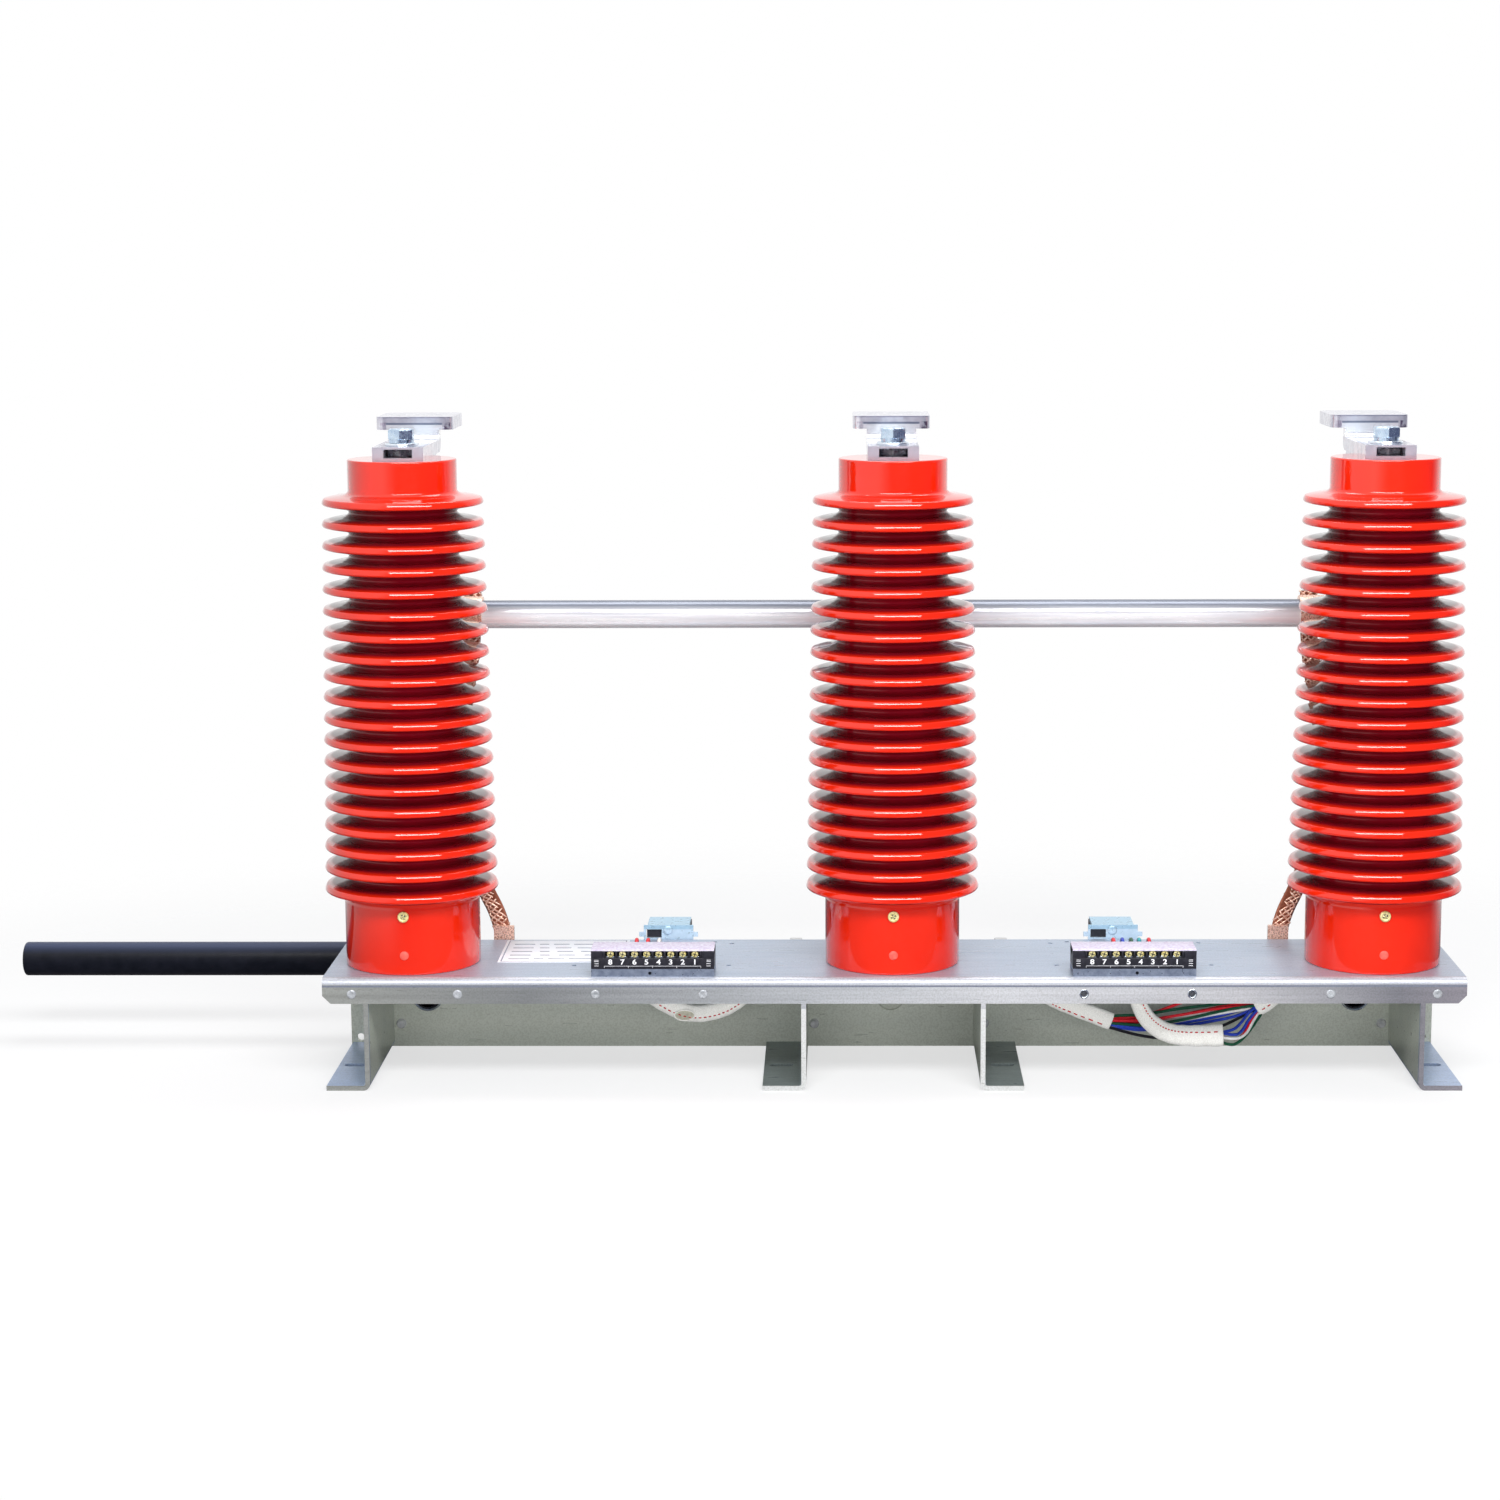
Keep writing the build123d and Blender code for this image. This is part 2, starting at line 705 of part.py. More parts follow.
with BuildPart() as lug_bolts:
    for side in (-1, 1):
        with BuildSketch(Plane(origin=(side * lug_x, skirt_front, lug_bolt_z), z_dir=(0, 1, 0))):
            Circle(lug_bolt_radius)
        extrude(amount=sheet + lug_thickness + lug_head_height)
        with BuildSketch(Plane(origin=(side * lug_x, skirt_front, lug_bolt_z), z_dir=(0, -1, 0))):
            RegularPolygon(lug_head_radius, 6, major_radius=False)
        extrude(amount=lug_head_height)
        lug_face = Plane(origin=(side * lug_x, rear_edge + lug_thickness, lug_bolt_z), z_dir=(0, 1, 0))
        with BuildSketch(lug_face):
            RegularPolygon(lug_head_radius, 6, major_radius=False)
        extrude(amount=lug_head_height)
finish(lug_bolts.part, "lug_bolts")


def tangent_radii(points):
    """The largest tidy arc at each corner of a route: 0.45 of the shorter run beside it."""
    radii = []
    for before, here, after in zip(points, points[1:], points[2:]):
        run_in = Vector(*here) - Vector(*before)
        run_out = Vector(*after) - Vector(*here)
        turn = math.radians(run_in.get_angle(run_out))
        radii.append(0.45 * min(run_in.length, run_out.length) / math.tan(turn / 2))
    return radii


def make_braid(side):
    """A flat copper braid with slack, from the lug up, behind the insulator, to the clamp."""
    low_y = rear_edge + lug_thickness + braid_thickness / 2
    high_y = shaft_y + tube_radius + clamp_wall + braid_clamp_gap + braid_thickness / 2
    bow_x = pole_pitch - braid_bow_from_pole
    path = [
        (side * lug_x, low_y, lug_high - braid_below_lug_top),
        (side * lug_x, low_y, lug_high),
        (side * (lug_x + braid_lean_side), low_y + braid_lean_back, lug_high + braid_lean_rise),
        (side * bow_x, high_y + braid_bow, tube_z - braid_bow_low),
        (side * bow_x, high_y + braid_bow, tube_z - braid_bow_high),
        (side * clamp_x, high_y, tube_z - braid_straight),
        (side * clamp_x, high_y, tube_z + braid_above_tube),
    ]
    with BuildPart() as braid:
        with BuildLine() as route:
            FilletPolyline(*path, radius=tangent_radii(path))
        with BuildSketch(Plane(origin=route.line @ 0, z_dir=route.line % 0, x_dir=(1, 0, 0))):
            Rectangle(braid_width, braid_thickness)
        sweep()
    return braid.part


finish(make_braid(-1), "braid_left")
finish(make_braid(1), "braid_right")


def make_terminal_block(side):
    """A black terminal block with a stepped front and a barrier between neighbouring terminals."""
    centre = side * block_x
    with BuildPart() as block:
        with BuildSketch(Plane.YZ.offset(centre - block_length / 2)):
            with BuildLine():
                Polyline(
                    (block_front, block_foot),
                    (block_front + block_depth, block_foot),
                    (block_front + block_depth, block_foot + block_height),
                    (block_front + block_step_depth, block_foot + block_height),
                    (block_front + block_step_depth, block_foot + block_step_height),
                    (block_front, block_foot + block_step_height),
                    close=True,
                )
            make_face()
        extrude(amount=block_length)
        with BuildSketch(Plane.XY.offset(block_foot)):
            with Locations((centre, block_front + block_step_depth / 2)):
                with GridLocations(terminal_pitch, 1, terminal_count + 1, 1):
                    Rectangle(barrier_width, block_step_depth)
        extrude(amount=block_height - barrier_drop)
        with BuildSketch(Plane.XY.offset(block_foot)):
            for end in (-1, 1):
                with Locations((centre + end * (block_length - block_end) / 2, block_front + block_step_depth / 2)):
                    Rectangle(block_end, block_step_depth)
        extrude(amount=block_height)
    return block.part


def make_terminal_riser(side):
    """The folded steel riser under a terminal block, with a hole in its front wall."""
    centre = side * block_x
    with BuildPart() as riser:
        with BuildSketch(Plane.YZ.offset(centre - block_length / 2)):
            with BuildLine():
                Polyline(
                    (block_front, channel_height),
                    (block_front, block_foot),
                    (block_front + block_depth, block_foot),
                    (block_front + block_depth, channel_height),
                    (block_front + block_depth - riser_sheet, channel_height),
                    (block_front + block_depth - riser_sheet, block_foot - riser_sheet),
                    (block_front + riser_sheet, block_foot - riser_sheet),
                    (block_front + riser_sheet, channel_height),
                    close=True,
                )
            make_face()
        extrude(amount=block_length)
        with BuildSketch(Plane.XZ.offset(-block_front)):
            with Locations((centre + side * riser_hole_offset, block_foot - riser_hole_drop)):
                Circle(riser_hole_radius)
        extrude(amount=-riser_sheet, mode=Mode.SUBTRACT)
    return riser.part


for name, side in (("left", -1), ("right", 1)):
    finish(make_terminal_block(side), f"terminal_block_{name}")
    finish(make_terminal_riser(side), f"terminal_riser_{name}")

# Short wires that leave the back of each block, arch over and go down to the plate
terminal_wire_pieces = []
for x in left_terminal_wires + right_terminal_wires:
    block_rear = block_front + block_depth
    arch = [
        (x, block_rear, block_foot + terminal_wire_low),
        (x, block_rear + terminal_wire_reach / 5, block_foot + terminal_wire_low),
        (x, block_rear + terminal_wire_reach / 2, block_foot + terminal_wire_crest),
        (x, block_rear + terminal_wire_reach, block_foot + terminal_wire_low),
        (x, block_rear + terminal_wire_reach, channel_height),
    ]
    with BuildPart() as terminal_wire:
        with BuildLine() as route:
            FilletPolyline(*arch, radius=tangent_radii(arch))
        with BuildSketch(Plane(origin=route.line @ 0, z_dir=route.line % 0)):
            Circle(terminal_wire_radius)
        sweep()
    terminal_wire_pieces.append(terminal_wire.part)
finish(Compound(children=terminal_wire_pieces), "terminal_wires")


def make_switch_bracket(side):
    """A folded bracket on the back of the skirt, over the shaft: a front wall with a window and
    an ear at each side, and a narrower flange on top."""
    centre = side * switch_x
    left = centre - switch_front_width / 2
    with BuildPart() as bracket:
        with BuildSketch(Plane.XZ.offset(-rear_edge)):
            with Locations((centre, (switch_bracket_low + switch_bracket_top) / 2)):
                Rectangle(switch_front_width, switch_bracket_top - switch_bracket_low)
            with Locations((centre, (switch_ear_low + switch_ear_high) / 2)):
                Rectangle(switch_front_width + 2 * switch_ear, switch_ear_high - switch_ear_low)
            with Locations((left + window_edge + window_width / 2, window_low + window_height / 2)):
                Rectangle(window_width, window_height, mode=Mode.SUBTRACT)
        extrude(amount=-switch_bracket_sheet)
        with BuildSketch(Plane.XY.offset(switch_bracket_top - switch_bracket_sheet)):
            with Locations((centre, rear_edge + switch_bracket_depth / 2)):
                Rectangle(switch_top_width, switch_bracket_depth)
        extrude(amount=switch_bracket_sheet)
    return bracket.part


def make_switch(side):
    """The black auxiliary switch that hangs under the bracket's flange, clear of the shaft."""
    front = rear_edge + switch_bracket_sheet
    with BuildPart() as switch:
        with BuildSketch(Plane.XY.offset(switch_bracket_top - switch_bracket_sheet)):
            with Locations((side * switch_x, (front + rear_edge + switch_bracket_depth) / 2)):
                Rectangle(switch_width, switch_bracket_depth - switch_bracket_sheet)
        extrude(amount=-switch_height)
    return switch.part


for name, side in (("left", -1), ("right", 1)):
    finish(make_switch_bracket(side), f"switch_bracket_{name}")
    finish(make_switch(side), f"aux_switch_{name}")


def make_sleeve(points, y):
    """A flattened woven sleeve under the plate, along runs and arcs. It starts at the plate."""
    with BuildPart() as sleeve:
        with BuildLine(Plane.XZ.offset(-y)) as route:
            FilletPolyline(*points, radius=tangent_radii(points))
        with BuildSketch(Plane(origin=route.line @ 0, z_dir=route.line % 0, x_dir=(1, 0, 0))):
            Ellipse(sleeve_half_width, sleeve_half_depth)
        sweep()
    return sleeve.part


left_sleeve = [
    (-160, plate_under), (-160, 57), (-149, 45), (-128, 34),
    (-107, 37), (-92, 47), (-84, 57), (-84, plate_under),
]
first_right_sleeve = [(86, plate_under), (86, 57), (97, 47), (112, 40), (138, 30)]
second_right_sleeve = [(151, plate_under), (151, 51), (158, 36), (170, 27), (188, 25), (206, 26)]
last_right_sleeve = [(250, plate_under), (250, 50), (229, 38.4)]
sleeve_pieces = [
    make_sleeve(left_sleeve, harness_y),
    make_sleeve(first_right_sleeve, harness_y),
    make_sleeve(second_right_sleeve, second_sleeve_y),
    make_sleeve(last_right_sleeve, harness_y),
]
finish(Compound(children=sleeve_pieces), "harness_sleeves")


def make_bundle(points, radius):
    """A bundle of wires along runs and arcs in space."""
    with BuildPart() as bundle:
        with BuildLine() as route:
            FilletPolyline(*points, radius=tangent_radii(points))
        with BuildSketch(Plane(origin=route.line @ 0, z_dir=route.line % 0)):
            Circle(radius)
        sweep()
    return bundle.part


main_bundle = [
    (138.6, harness_y, 29.8), (148.9, harness_y, 25.8), (160, harness_y, 25.5),
    (192, harness_y, 34), (212, harness_y, 38.5), (222.5, harness_y, 39),
]
front_bundle = [
    (206.6, second_sleeve_y, 26), (214, second_sleeve_y + 1, 27), (221, second_sleeve_y + 8, 31),
    (225, second_sleeve_y + 15, 34.5),
]
bundle_pieces = [make_bundle(main_bundle, bundle_radius), make_bundle(front_bundle, small_bundle_radius)]
finish(Compound(children=bundle_pieces), "harness_wires")
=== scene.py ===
import bpy, bmesh, math
from mathutils import Matrix, Vector


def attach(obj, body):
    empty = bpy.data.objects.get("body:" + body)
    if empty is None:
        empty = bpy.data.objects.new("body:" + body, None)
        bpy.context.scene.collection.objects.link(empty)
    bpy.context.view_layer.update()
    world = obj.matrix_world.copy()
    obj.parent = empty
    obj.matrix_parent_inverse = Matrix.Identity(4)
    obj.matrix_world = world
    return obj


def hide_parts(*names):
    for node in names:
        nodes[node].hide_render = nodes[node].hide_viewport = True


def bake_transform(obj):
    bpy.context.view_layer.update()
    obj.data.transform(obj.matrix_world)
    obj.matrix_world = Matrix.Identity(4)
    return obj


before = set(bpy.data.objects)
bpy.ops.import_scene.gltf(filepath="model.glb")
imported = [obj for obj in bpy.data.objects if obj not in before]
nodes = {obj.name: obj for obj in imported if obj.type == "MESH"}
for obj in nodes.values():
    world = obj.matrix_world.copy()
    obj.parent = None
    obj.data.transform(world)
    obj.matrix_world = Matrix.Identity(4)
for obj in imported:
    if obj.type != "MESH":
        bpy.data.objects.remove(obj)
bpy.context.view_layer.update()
MM = 0.001
TAU = 2 * math.pi

# Sizes and places from the CAD model, in millimetres
POLES = {"left": -300.0, "middle": 0.0, "right": 300.0}
PLATE_TOP, PLATE_UNDER = 71.0, 68.0
FRONT_EDGE = -49.0
BASE_R, BASE_H = 41.8, 42.0
CAP_R, INSULATOR_H, CAP_ABOVE_TOP_SHED = 33.3, 314.0, 25.6
CORE_LOW_R, CORE_HIGH_R = 38.0, 33.0
SHED_COUNT, LOWEST_SHED = 19, 49.0
LOW_SHED_R, HIGH_SHED_R = 53.65, 49.2
CAP_TOP = PLATE_TOP + INSULATOR_H
FOOT_TOP = CAP_TOP + 8.0
SCREW_Z, PLUG_Z = PLATE_TOP + 37.0, PLATE_TOP + 12.5
TUBE_Z, SHAFT_Y, SHAFT_Z = 279.0, 84.0, 52.0
BLOCK_X, BLOCK_LENGTH, BLOCK_FRONT, BLOCK_DEPTH = 147.5, 75.5, -44.5, 22.0
BLOCK_FOOT, BLOCK_HEIGHT, TERMINAL_PITCH = 75.7, 12.1, 7.4
BLOCK_STEP, TERMINALS = 6.8, 8
LUG_X, CLAMP_X, BOW_X, BRAID_WIDTH = 250.0, 270.0, 284.0, 13.0
LIP_HOLES = [116.5, 182.5, 267.0, 332.0]
SKIRT_FRONT, SKIRT_HOLE_Z, SKIRT_HOLE_R = 57.0, 33.5, 9.5
SWITCH_X, REAR_EDGE = 143.5, 60.0
INNER_BEARING_LEFT, INNER_BEARING_RIGHT = 49.5, 60.5
WEB_TOP, SHAFT_BORE, BEARING_PLATE = 65.4, 11.3, 4.0
CHANNEL_HALF = 350.0


# ---------------------------------------------------------------- small mesh helpers
def mesh_object(name, verts, faces, material, smooth=True):
    """A piece from points in millimetres."""
    mesh = bpy.data.meshes.new(name)
    mesh.from_pydata([tuple(c * MM for c in v) for v in verts], [], faces)
    mesh.update()
    for polygon in mesh.polygons:
        polygon.use_smooth = smooth
    piece = bpy.data.objects.new(name, mesh)
    bpy.context.scene.collection.objects.link(piece)
    piece.data.materials.append(material)
    return piece


def ring_faces(rings, sides):
    """Faces between rings of points that are listed ring after ring."""
    faces = []
    for i in range(rings - 1):
        for s in range(sides):
            t = (s + 1) % sides
            faces.append((i * sides + s, i * sides + t, (i + 1) * sides + t, (i + 1) * sides + s))
    return faces


def end_faces(rings, sides):
    """The two faces that close a stack of rings."""
    return [tuple(reversed(range(sides))), tuple((rings - 1) * sides + s for s in range(sides))]


def lathe(name, outline, centre, material, segments=128, axis="Z"):
    """Turns an outline of (radius, height) pairs about an axis through centre."""
    verts = []
    for r, h in outline:
        for s in range(segments):
            a = TAU * s / segments
            x, y = r * math.cos(a), r * math.sin(a)
            verts.append({"Z": (x, y, h), "-Y": (x, -h, y)}[axis])
    verts = [tuple(c + d for c, d in zip(v, centre)) for v in verts]
    faces = ring_faces(len(outline), segments) + end_faces(len(outline), segments)
    return mesh_object(name, verts, faces, material)


def arc(cx, cy, radius, start, end, steps):
    """Points of an arc, angles in degrees."""
    out = []
    for i in range(steps + 1):
        a = math.radians(start + (end - start) * i / steps)
        out.append((cx + radius * math.cos(a), cy + radius * math.sin(a)))
    return out


def block(name, low, high, material, bevel=0.3, segments=2):
    """A box with rounded edges, from corner to corner."""
    bm = bmesh.new()
    bmesh.ops.create_cube(bm, size=1.0)
    for v in bm.verts:
        for k in range(3):
            v.co[k] = (low[k] + high[k]) / 2 + v.co[k] * (high[k] - low[k])
    bmesh.ops.bevel(bm, geom=bm.edges[:], offset=bevel, segments=segments, affect="EDGES", profile=0.6)
    bm.verts.index_update()
    verts = [tuple(v.co) for v in bm.verts]
    faces = [tuple(v.index for v in f.verts) for f in bm.faces]
    bm.free()
    return mesh_object(name, verts, faces, material)


def joined(name, pieces):
    """One piece made of several."""
    with bpy.context.temp_override(active_object=pieces[0], selected_editable_objects=pieces):
        bpy.ops.object.join()
    pieces[0].name = name
    pieces[0].data.name = name
    return pieces[0]


def tube_mesh(name, path, radius, material, sides=12, flat=1.0, bump=None):
    """A tube round a list of points. flat squeezes it across Y, and bump varies its radius."""
    verts = []
    points = [Vector(p) for p in path]
    side = Vector((0, 1, 0))
    for i, p in enumerate(points):
        ahead = points[min(i + 1, len(points) - 1)] - points[max(i - 1, 0)]
        ahead.normalize()
        across = (side - ahead * side.dot(ahead)).normalized()
        other = ahead.cross(across)
        for s in range(sides):
            a = TAU * s / sides
            r = radius * (bump(i, s) if bump else 1.0)
            verts.append(tuple(p + across * (r * math.cos(a) * flat) + other * (r * math.sin(a))))
    faces = ring_faces(len(points), sides) + end_faces(len(points), sides)
    return mesh_object(name, verts, faces, material)


def smooth_route(points, steps):
    """A NURBS line with these control points, read back as evenly placed points."""
    curve = bpy.data.curves.new("route", "CURVE")
    curve.dimensions = "3D"
    spline = curve.splines.new("NURBS")
    spline.points.add(len(points) - 1)
    for target, p in zip(spline.points, points):
        target.co = (*p, 1.0)
    spline.order_u = 3
    spline.use_endpoint_u = True
    spline.resolution_u = steps
    holder = bpy.data.objects.new("route", curve)
    mesh = bpy.data.meshes.new_from_object(holder)
    line = [tuple(v.co) for v in mesh.vertices]
    bpy.data.objects.remove(holder)
    bpy.data.curves.remove(curve)
    bpy.data.meshes.remove(mesh)
    return line


# ---------------------------------------------------------------- material helpers
def feed(tree, socket, value):
    """Sets a socket to a number or colour, or links another node's output to it."""
    if hasattr(value, "is_output"):
        tree.links.new(value, socket)
    else:
        socket.default_value = value


class Paint:
    """A Principled material with node shortcuts. Places are in metres in the object's frame."""

    def __init__(self, name, **sockets):
        self.material = bpy.data.materials.new(name)
        self.material.use_nodes = True
        self.tree = self.material.node_tree
        self.shader = self.tree.nodes["Principled BSDF"]
        for key, value in sockets.items():
            self.shader.inputs[key.replace("_", " ")].default_value = value
        self.place = self.tree.nodes.new("ShaderNodeTexCoord").outputs["Object"]

    def node(self, kind, **inputs):
        made = self.tree.nodes.new(kind)
        for key, value in inputs.items():
            feed(self.tree, made.inputs[key.replace("_", " ")], value)
        return made

    def compute(self, operation, *values):
        """A Math node's result."""
        made = self.tree.nodes.new("ShaderNodeMath")
        made.operation = operation
        for value, socket in zip(values, made.inputs):
            feed(self.tree, socket, value)
        return made.outputs[0]

    def mix(self, kind, share, first, second):
        """Two colours mixed."""
        made = self.tree.nodes.new("ShaderNodeMix")
        made.data_type, made.blend_type = "RGBA", kind
        feed(self.tree, made.inputs["Factor"], share)
        colours = [s for s in made.inputs if s.type == "RGBA"]
        self.tree.links.new(first, colours[0])
        self.tree.links.new(second, colours[1])
        return [s for s in made.outputs if s.type == "RGBA"][0]

    def link(self, output, socket):
        self.tree.links.new(output, self.shader.inputs[socket])

    def stretched(self, scale):
        return self.node("ShaderNodeMapping", Vector=self.place, Scale=scale).outputs["Vector"]

    def noise(self, scale, detail=3.0, roughness=0.5, stretch=(1, 1, 1)):
        made = self.node("ShaderNodeTexNoise", Vector=self.stretched(stretch), Scale=scale,
                         Detail=detail, Roughness=roughness)
        return made.outputs["Fac"]

    def ramp(self, value, stops):
        made = self.tree.nodes.new("ShaderNodeValToRGB")
        self.tree.links.new(value, made.inputs["Fac"])
        elements = made.color_ramp.elements
        while len(elements) < len(stops):
            elements.new(0.5)
        for element, (place, colour) in zip(elements, stops):
            element.position = place
            element.color = (*colour, 1.0) if len(colour) == 3 else colour
        return made.outputs["Color"]

    def grey(self, value, low, high, start=0.3, end=0.7):
        return self.ramp(value, [(start, (low,) * 3), (end, (high,) * 3)])

    def axis(self, k):
        parts = self.node("ShaderNodeSeparateXYZ", Vector=self.place)
        return parts.outputs[k]

    def multiply(self, first, second):
        return self.mix("MULTIPLY", 1.0, first, second)

    def blend(self, share, first, second):
        return self.mix("MIX", share, first, second)

    def both(self, first, second):
        return self.compute("MULTIPLY", first, second)

    def between(self, value, low, high, soft=0.0003):
        """One where value lies from low to high, else zero."""
        return self.both(self.span(value, low - soft, low), self.span(value, high + soft, high))

    def pole_offset(self):
        """Distance along X from the nearest pole, in metres."""
        half = POLES["right"] / 2 * MM
        return self.compute("WRAP", self.axis("X"), half, -half)

    def pole_radius(self):
        """Distance from the nearest pole's upright axis, in metres."""
        flat = self.tree.nodes.new("ShaderNodeCombineXYZ")
        self.tree.links.new(self.pole_offset(), flat.inputs["X"])
        self.tree.links.new(self.axis("Y"), flat.inputs["Y"])
        length = self.tree.nodes.new("ShaderNodeVectorMath")
        length.operation = "LENGTH"
        self.tree.links.new(flat.outputs[0], length.inputs[0])
        return length.outputs["Value"]

    def tint(self, mask, under, colour):
        """Lays one colour over another where the mask is one."""
        flat = self.ramp(self.axis("Z"), [(0.0, colour), (1.0, colour)])
        return self.blend(mask, under, flat)

    def span(self, value, low, high):
        """Zero at low, one at high and even between."""
        made = self.node("ShaderNodeMapRange", Value=value)
        made.inputs["From Min"].default_value = low
        made.inputs["From Max"].default_value = high
        return made.outputs["Result"]

    def bump(self, height, strength, distance=0.0005):
        made = self.node("ShaderNodeBump", Height=height, Strength=strength, Distance=distance)
        self.link(made.outputs["Normal"], "Normal")


def rgb(red, green, blue):
    """A screen colour (0 to 255) as linear light."""
    out = []
    for c in (red, green, blue):
        c /= 255
        out.append(c / 12.92 if c <= 0.04045 else ((c + 0.055) / 1.055) ** 2.4)
    return tuple(out)


# ---------------------------------------------------------------- materials
def red_epoxy():
    """Glossy cast resin, with painted shade: a deeper red in the hollows between the sheds."""
    p = Paint("red_epoxy")
    p.shader.inputs["Specular IOR Level"].default_value = 0.4
    p.shader.inputs["Coat Roughness"].default_value = 0.04
    cloud = p.noise(22.0, 2.0)
    skin = p.ramp(cloud, [(0.3, (0.68, 0.015, 0.002)), (0.7, (0.77, 0.021, 0.004))])
    painted_shade_red = p.ramp(cloud, [(0.3, (0.17, 0.003, 0.008)), (0.7, (0.24, 0.004, 0.012))])
    sheds = p.between(p.axis("Z"), (PLATE_TOP + BASE_H + 2) * MM,
                      (CAP_TOP - CAP_ABOVE_TOP_SHED - 2.5) * MM)
    taper = (LOW_SHED_R - HIGH_SHED_R) / (INSULATOR_H - CAP_ABOVE_TOP_SHED - LOWEST_SHED)
    inward = p.compute("MULTIPLY_ADD", p.axis("Z"), taper, p.pole_radius())
    edge = (LOW_SHED_R + taper * (PLATE_TOP + LOWEST_SHED)) * MM
    # Painted shade: the hollows between the sheds get a deeper red and less coat, for the shade that falls
    # there.
    hollow = p.both(sheds, p.span(inward, edge - 0.0022, edge - 0.0062))
    p.link(p.blend(hollow, skin, painted_shade_red), "Base Color")
    p.link(p.grey(hollow, 0.65, 0.0), "Coat Weight")
    p.link(p.grey(p.noise(160.0, 4.0), 0.05, 0.09), "Roughness")
    p.bump(p.noise(90.0, 2.0), 0.03, 0.0006)
    return p.material


def zinc_sheet():
    """Rolled zinc, bluish on top, with painted light and shade: the lip painted lighter and darker along its
    length, a warmer, speckled tone of painted shade below the plate, a toned-down bend with a painted dark
    line under it, darker inner flanges and brighter inner foot edges.
    """
    p = Paint("zinc_sheet", Metallic=0.35)
    x, y, z = p.axis("X"), p.axis("Y"), p.axis("Z")
    streak = p.noise(40.0, 4.0, 0.6, (0.05, 1.0, 1.0))
    bluish = p.ramp(streak, [(0.25, (0.40, 0.48, 0.60)), (0.75, (0.48, 0.56, 0.68))])
    painted_shade_tone = p.ramp(streak, [(0.25, (0.56, 0.60, 0.53)), (0.75, (0.68, 0.71, 0.62))])
    along = p.span(x, -CHANNEL_HALF * MM, CHANNEL_HALF * MM)
    rolled = p.noise(420.0, 3.0, 0.6, (0.02, 1.0, 1.0))
    # Painted reflection: the lip darker at the left and at the right end and brightest right of the middle;
    # the rolled streaks are the sheet's own.
    lip = p.ramp(along, [(0.0, (0.38, 0.39, 0.37)), (0.18, (0.26, 0.27, 0.28)),
                         (0.42, (0.51, 0.53, 0.56)), (0.60, (0.69, 0.70, 0.73)),
                         (0.80, (0.60, 0.60, 0.63)), (0.94, (0.24, 0.24, 0.27)),
                         (1.0, (0.32, 0.30, 0.34))])
    lip = p.multiply(lip, p.ramp(rolled, [(0.3, (0.84, 0.84, 0.84)), (0.6, (1.0, 1.0, 1.0))]))
    # Zones, as masks that are one inside: heights above the floor and depths, in metres
    below_plate, above_flanges = p.span(z, 0.0675, 0.0665), p.span(z, 0.0030, 0.0045)
    behind_lip, lip_front = p.span(y, -0.0470, -0.0455), p.span(y, -0.0480, -0.0488)
    skirt, before_skirt = p.span(y, 0.0560, 0.0566), p.span(y, 0.0566, 0.0560)
    inner_feet = p.between(x, -0.12, 0.12)
    shade = p.both(p.both(below_plate, p.compute("MAXIMUM", above_flanges, skirt)), behind_lip)
    # Painted shade: below the plate the skirt and webs take a warmer colour that stands in for the shade
    # there.
    tone = p.blend(shade, bluish, painted_shade_tone)
    # Painted light: the bend gets a duller colour of its own to tone down its highlight.
    bend = p.both(p.span(y, -0.0440, -0.0452), p.span(z, 0.0664, 0.0667))
    tone = p.tint(bend, tone, (0.52, 0.54, 0.60))
    flange = p.both(p.span(z, 0.0045, 0.0030), before_skirt)
    tone = p.tint(flange, tone, (0.40, 0.50, 0.70))
    # Painted shade: the inner feet's flanges darker, for the shade under the plate.
    tone = p.tint(p.both(flange, inner_feet), tone, (0.24, 0.28, 0.28))
    tone = p.blend(p.both(lip_front, below_plate), tone, lip)
    # Painted shade: a dark line along the lip just under the bend.
    tone = p.tint(p.both(lip_front, p.between(z, 0.0655, 0.0664)), tone, (0.24, 0.26, 0.33))
    # Painted light: the front edges of the inner feet's webs brighter.
    foot_edges = p.both(inner_feet, p.between(z, -0.001, 0.0515))
    tone = p.tint(p.both(lip_front, foot_edges), tone, (0.80, 0.81, 0.80))
    dusty = p.ramp(p.noise(900.0, 2.0), [(0.35, (0.84, 0.84, 0.82)), (0.6, (1.0, 1.0, 1.0))])
    p.link(p.multiply(tone, dusty), "Base Color")
    p.link(p.grey(p.noise(260.0, 4.0, 0.6, (0.12, 1.0, 1.0)), 0.26, 0.44), "Roughness")
    p.bump(p.noise(700.0, 3.0, 0.6, (0.25, 1.0, 1.0)), 0.16, 0.0002)
    return p.material


def flecked(name, low, high, rough, metal, scales, relief):
    """Clouds of two colours, an uneven gloss and a fine relief, by the scales of their noises."""
    p = Paint(name, Metallic=metal)
    cloud_scale, gloss_scale, relief_scale = scales
    p.link(p.ramp(p.noise(cloud_scale, 3.0), [(0.3, low), (0.7, high)]), "Base Color")
    p.link(p.grey(p.noise(gloss_scale, 3.0), *rough), "Roughness")
    p.bump(p.noise(relief_scale, 2.0), relief, 0.0002)
    return p.material


def zinc_part(name, low, high, rough=(0.2, 0.36), metal=0.95):
    return flecked(name, low, high, rough, metal, (300.0, 500.0, 1200.0), 0.08)


def plain_plastic(name, low, high, rough=(0.3, 0.45)):
    return flecked(name, low, high, rough, 0.0, (600.0, 800.0, 1500.0), 0.08)


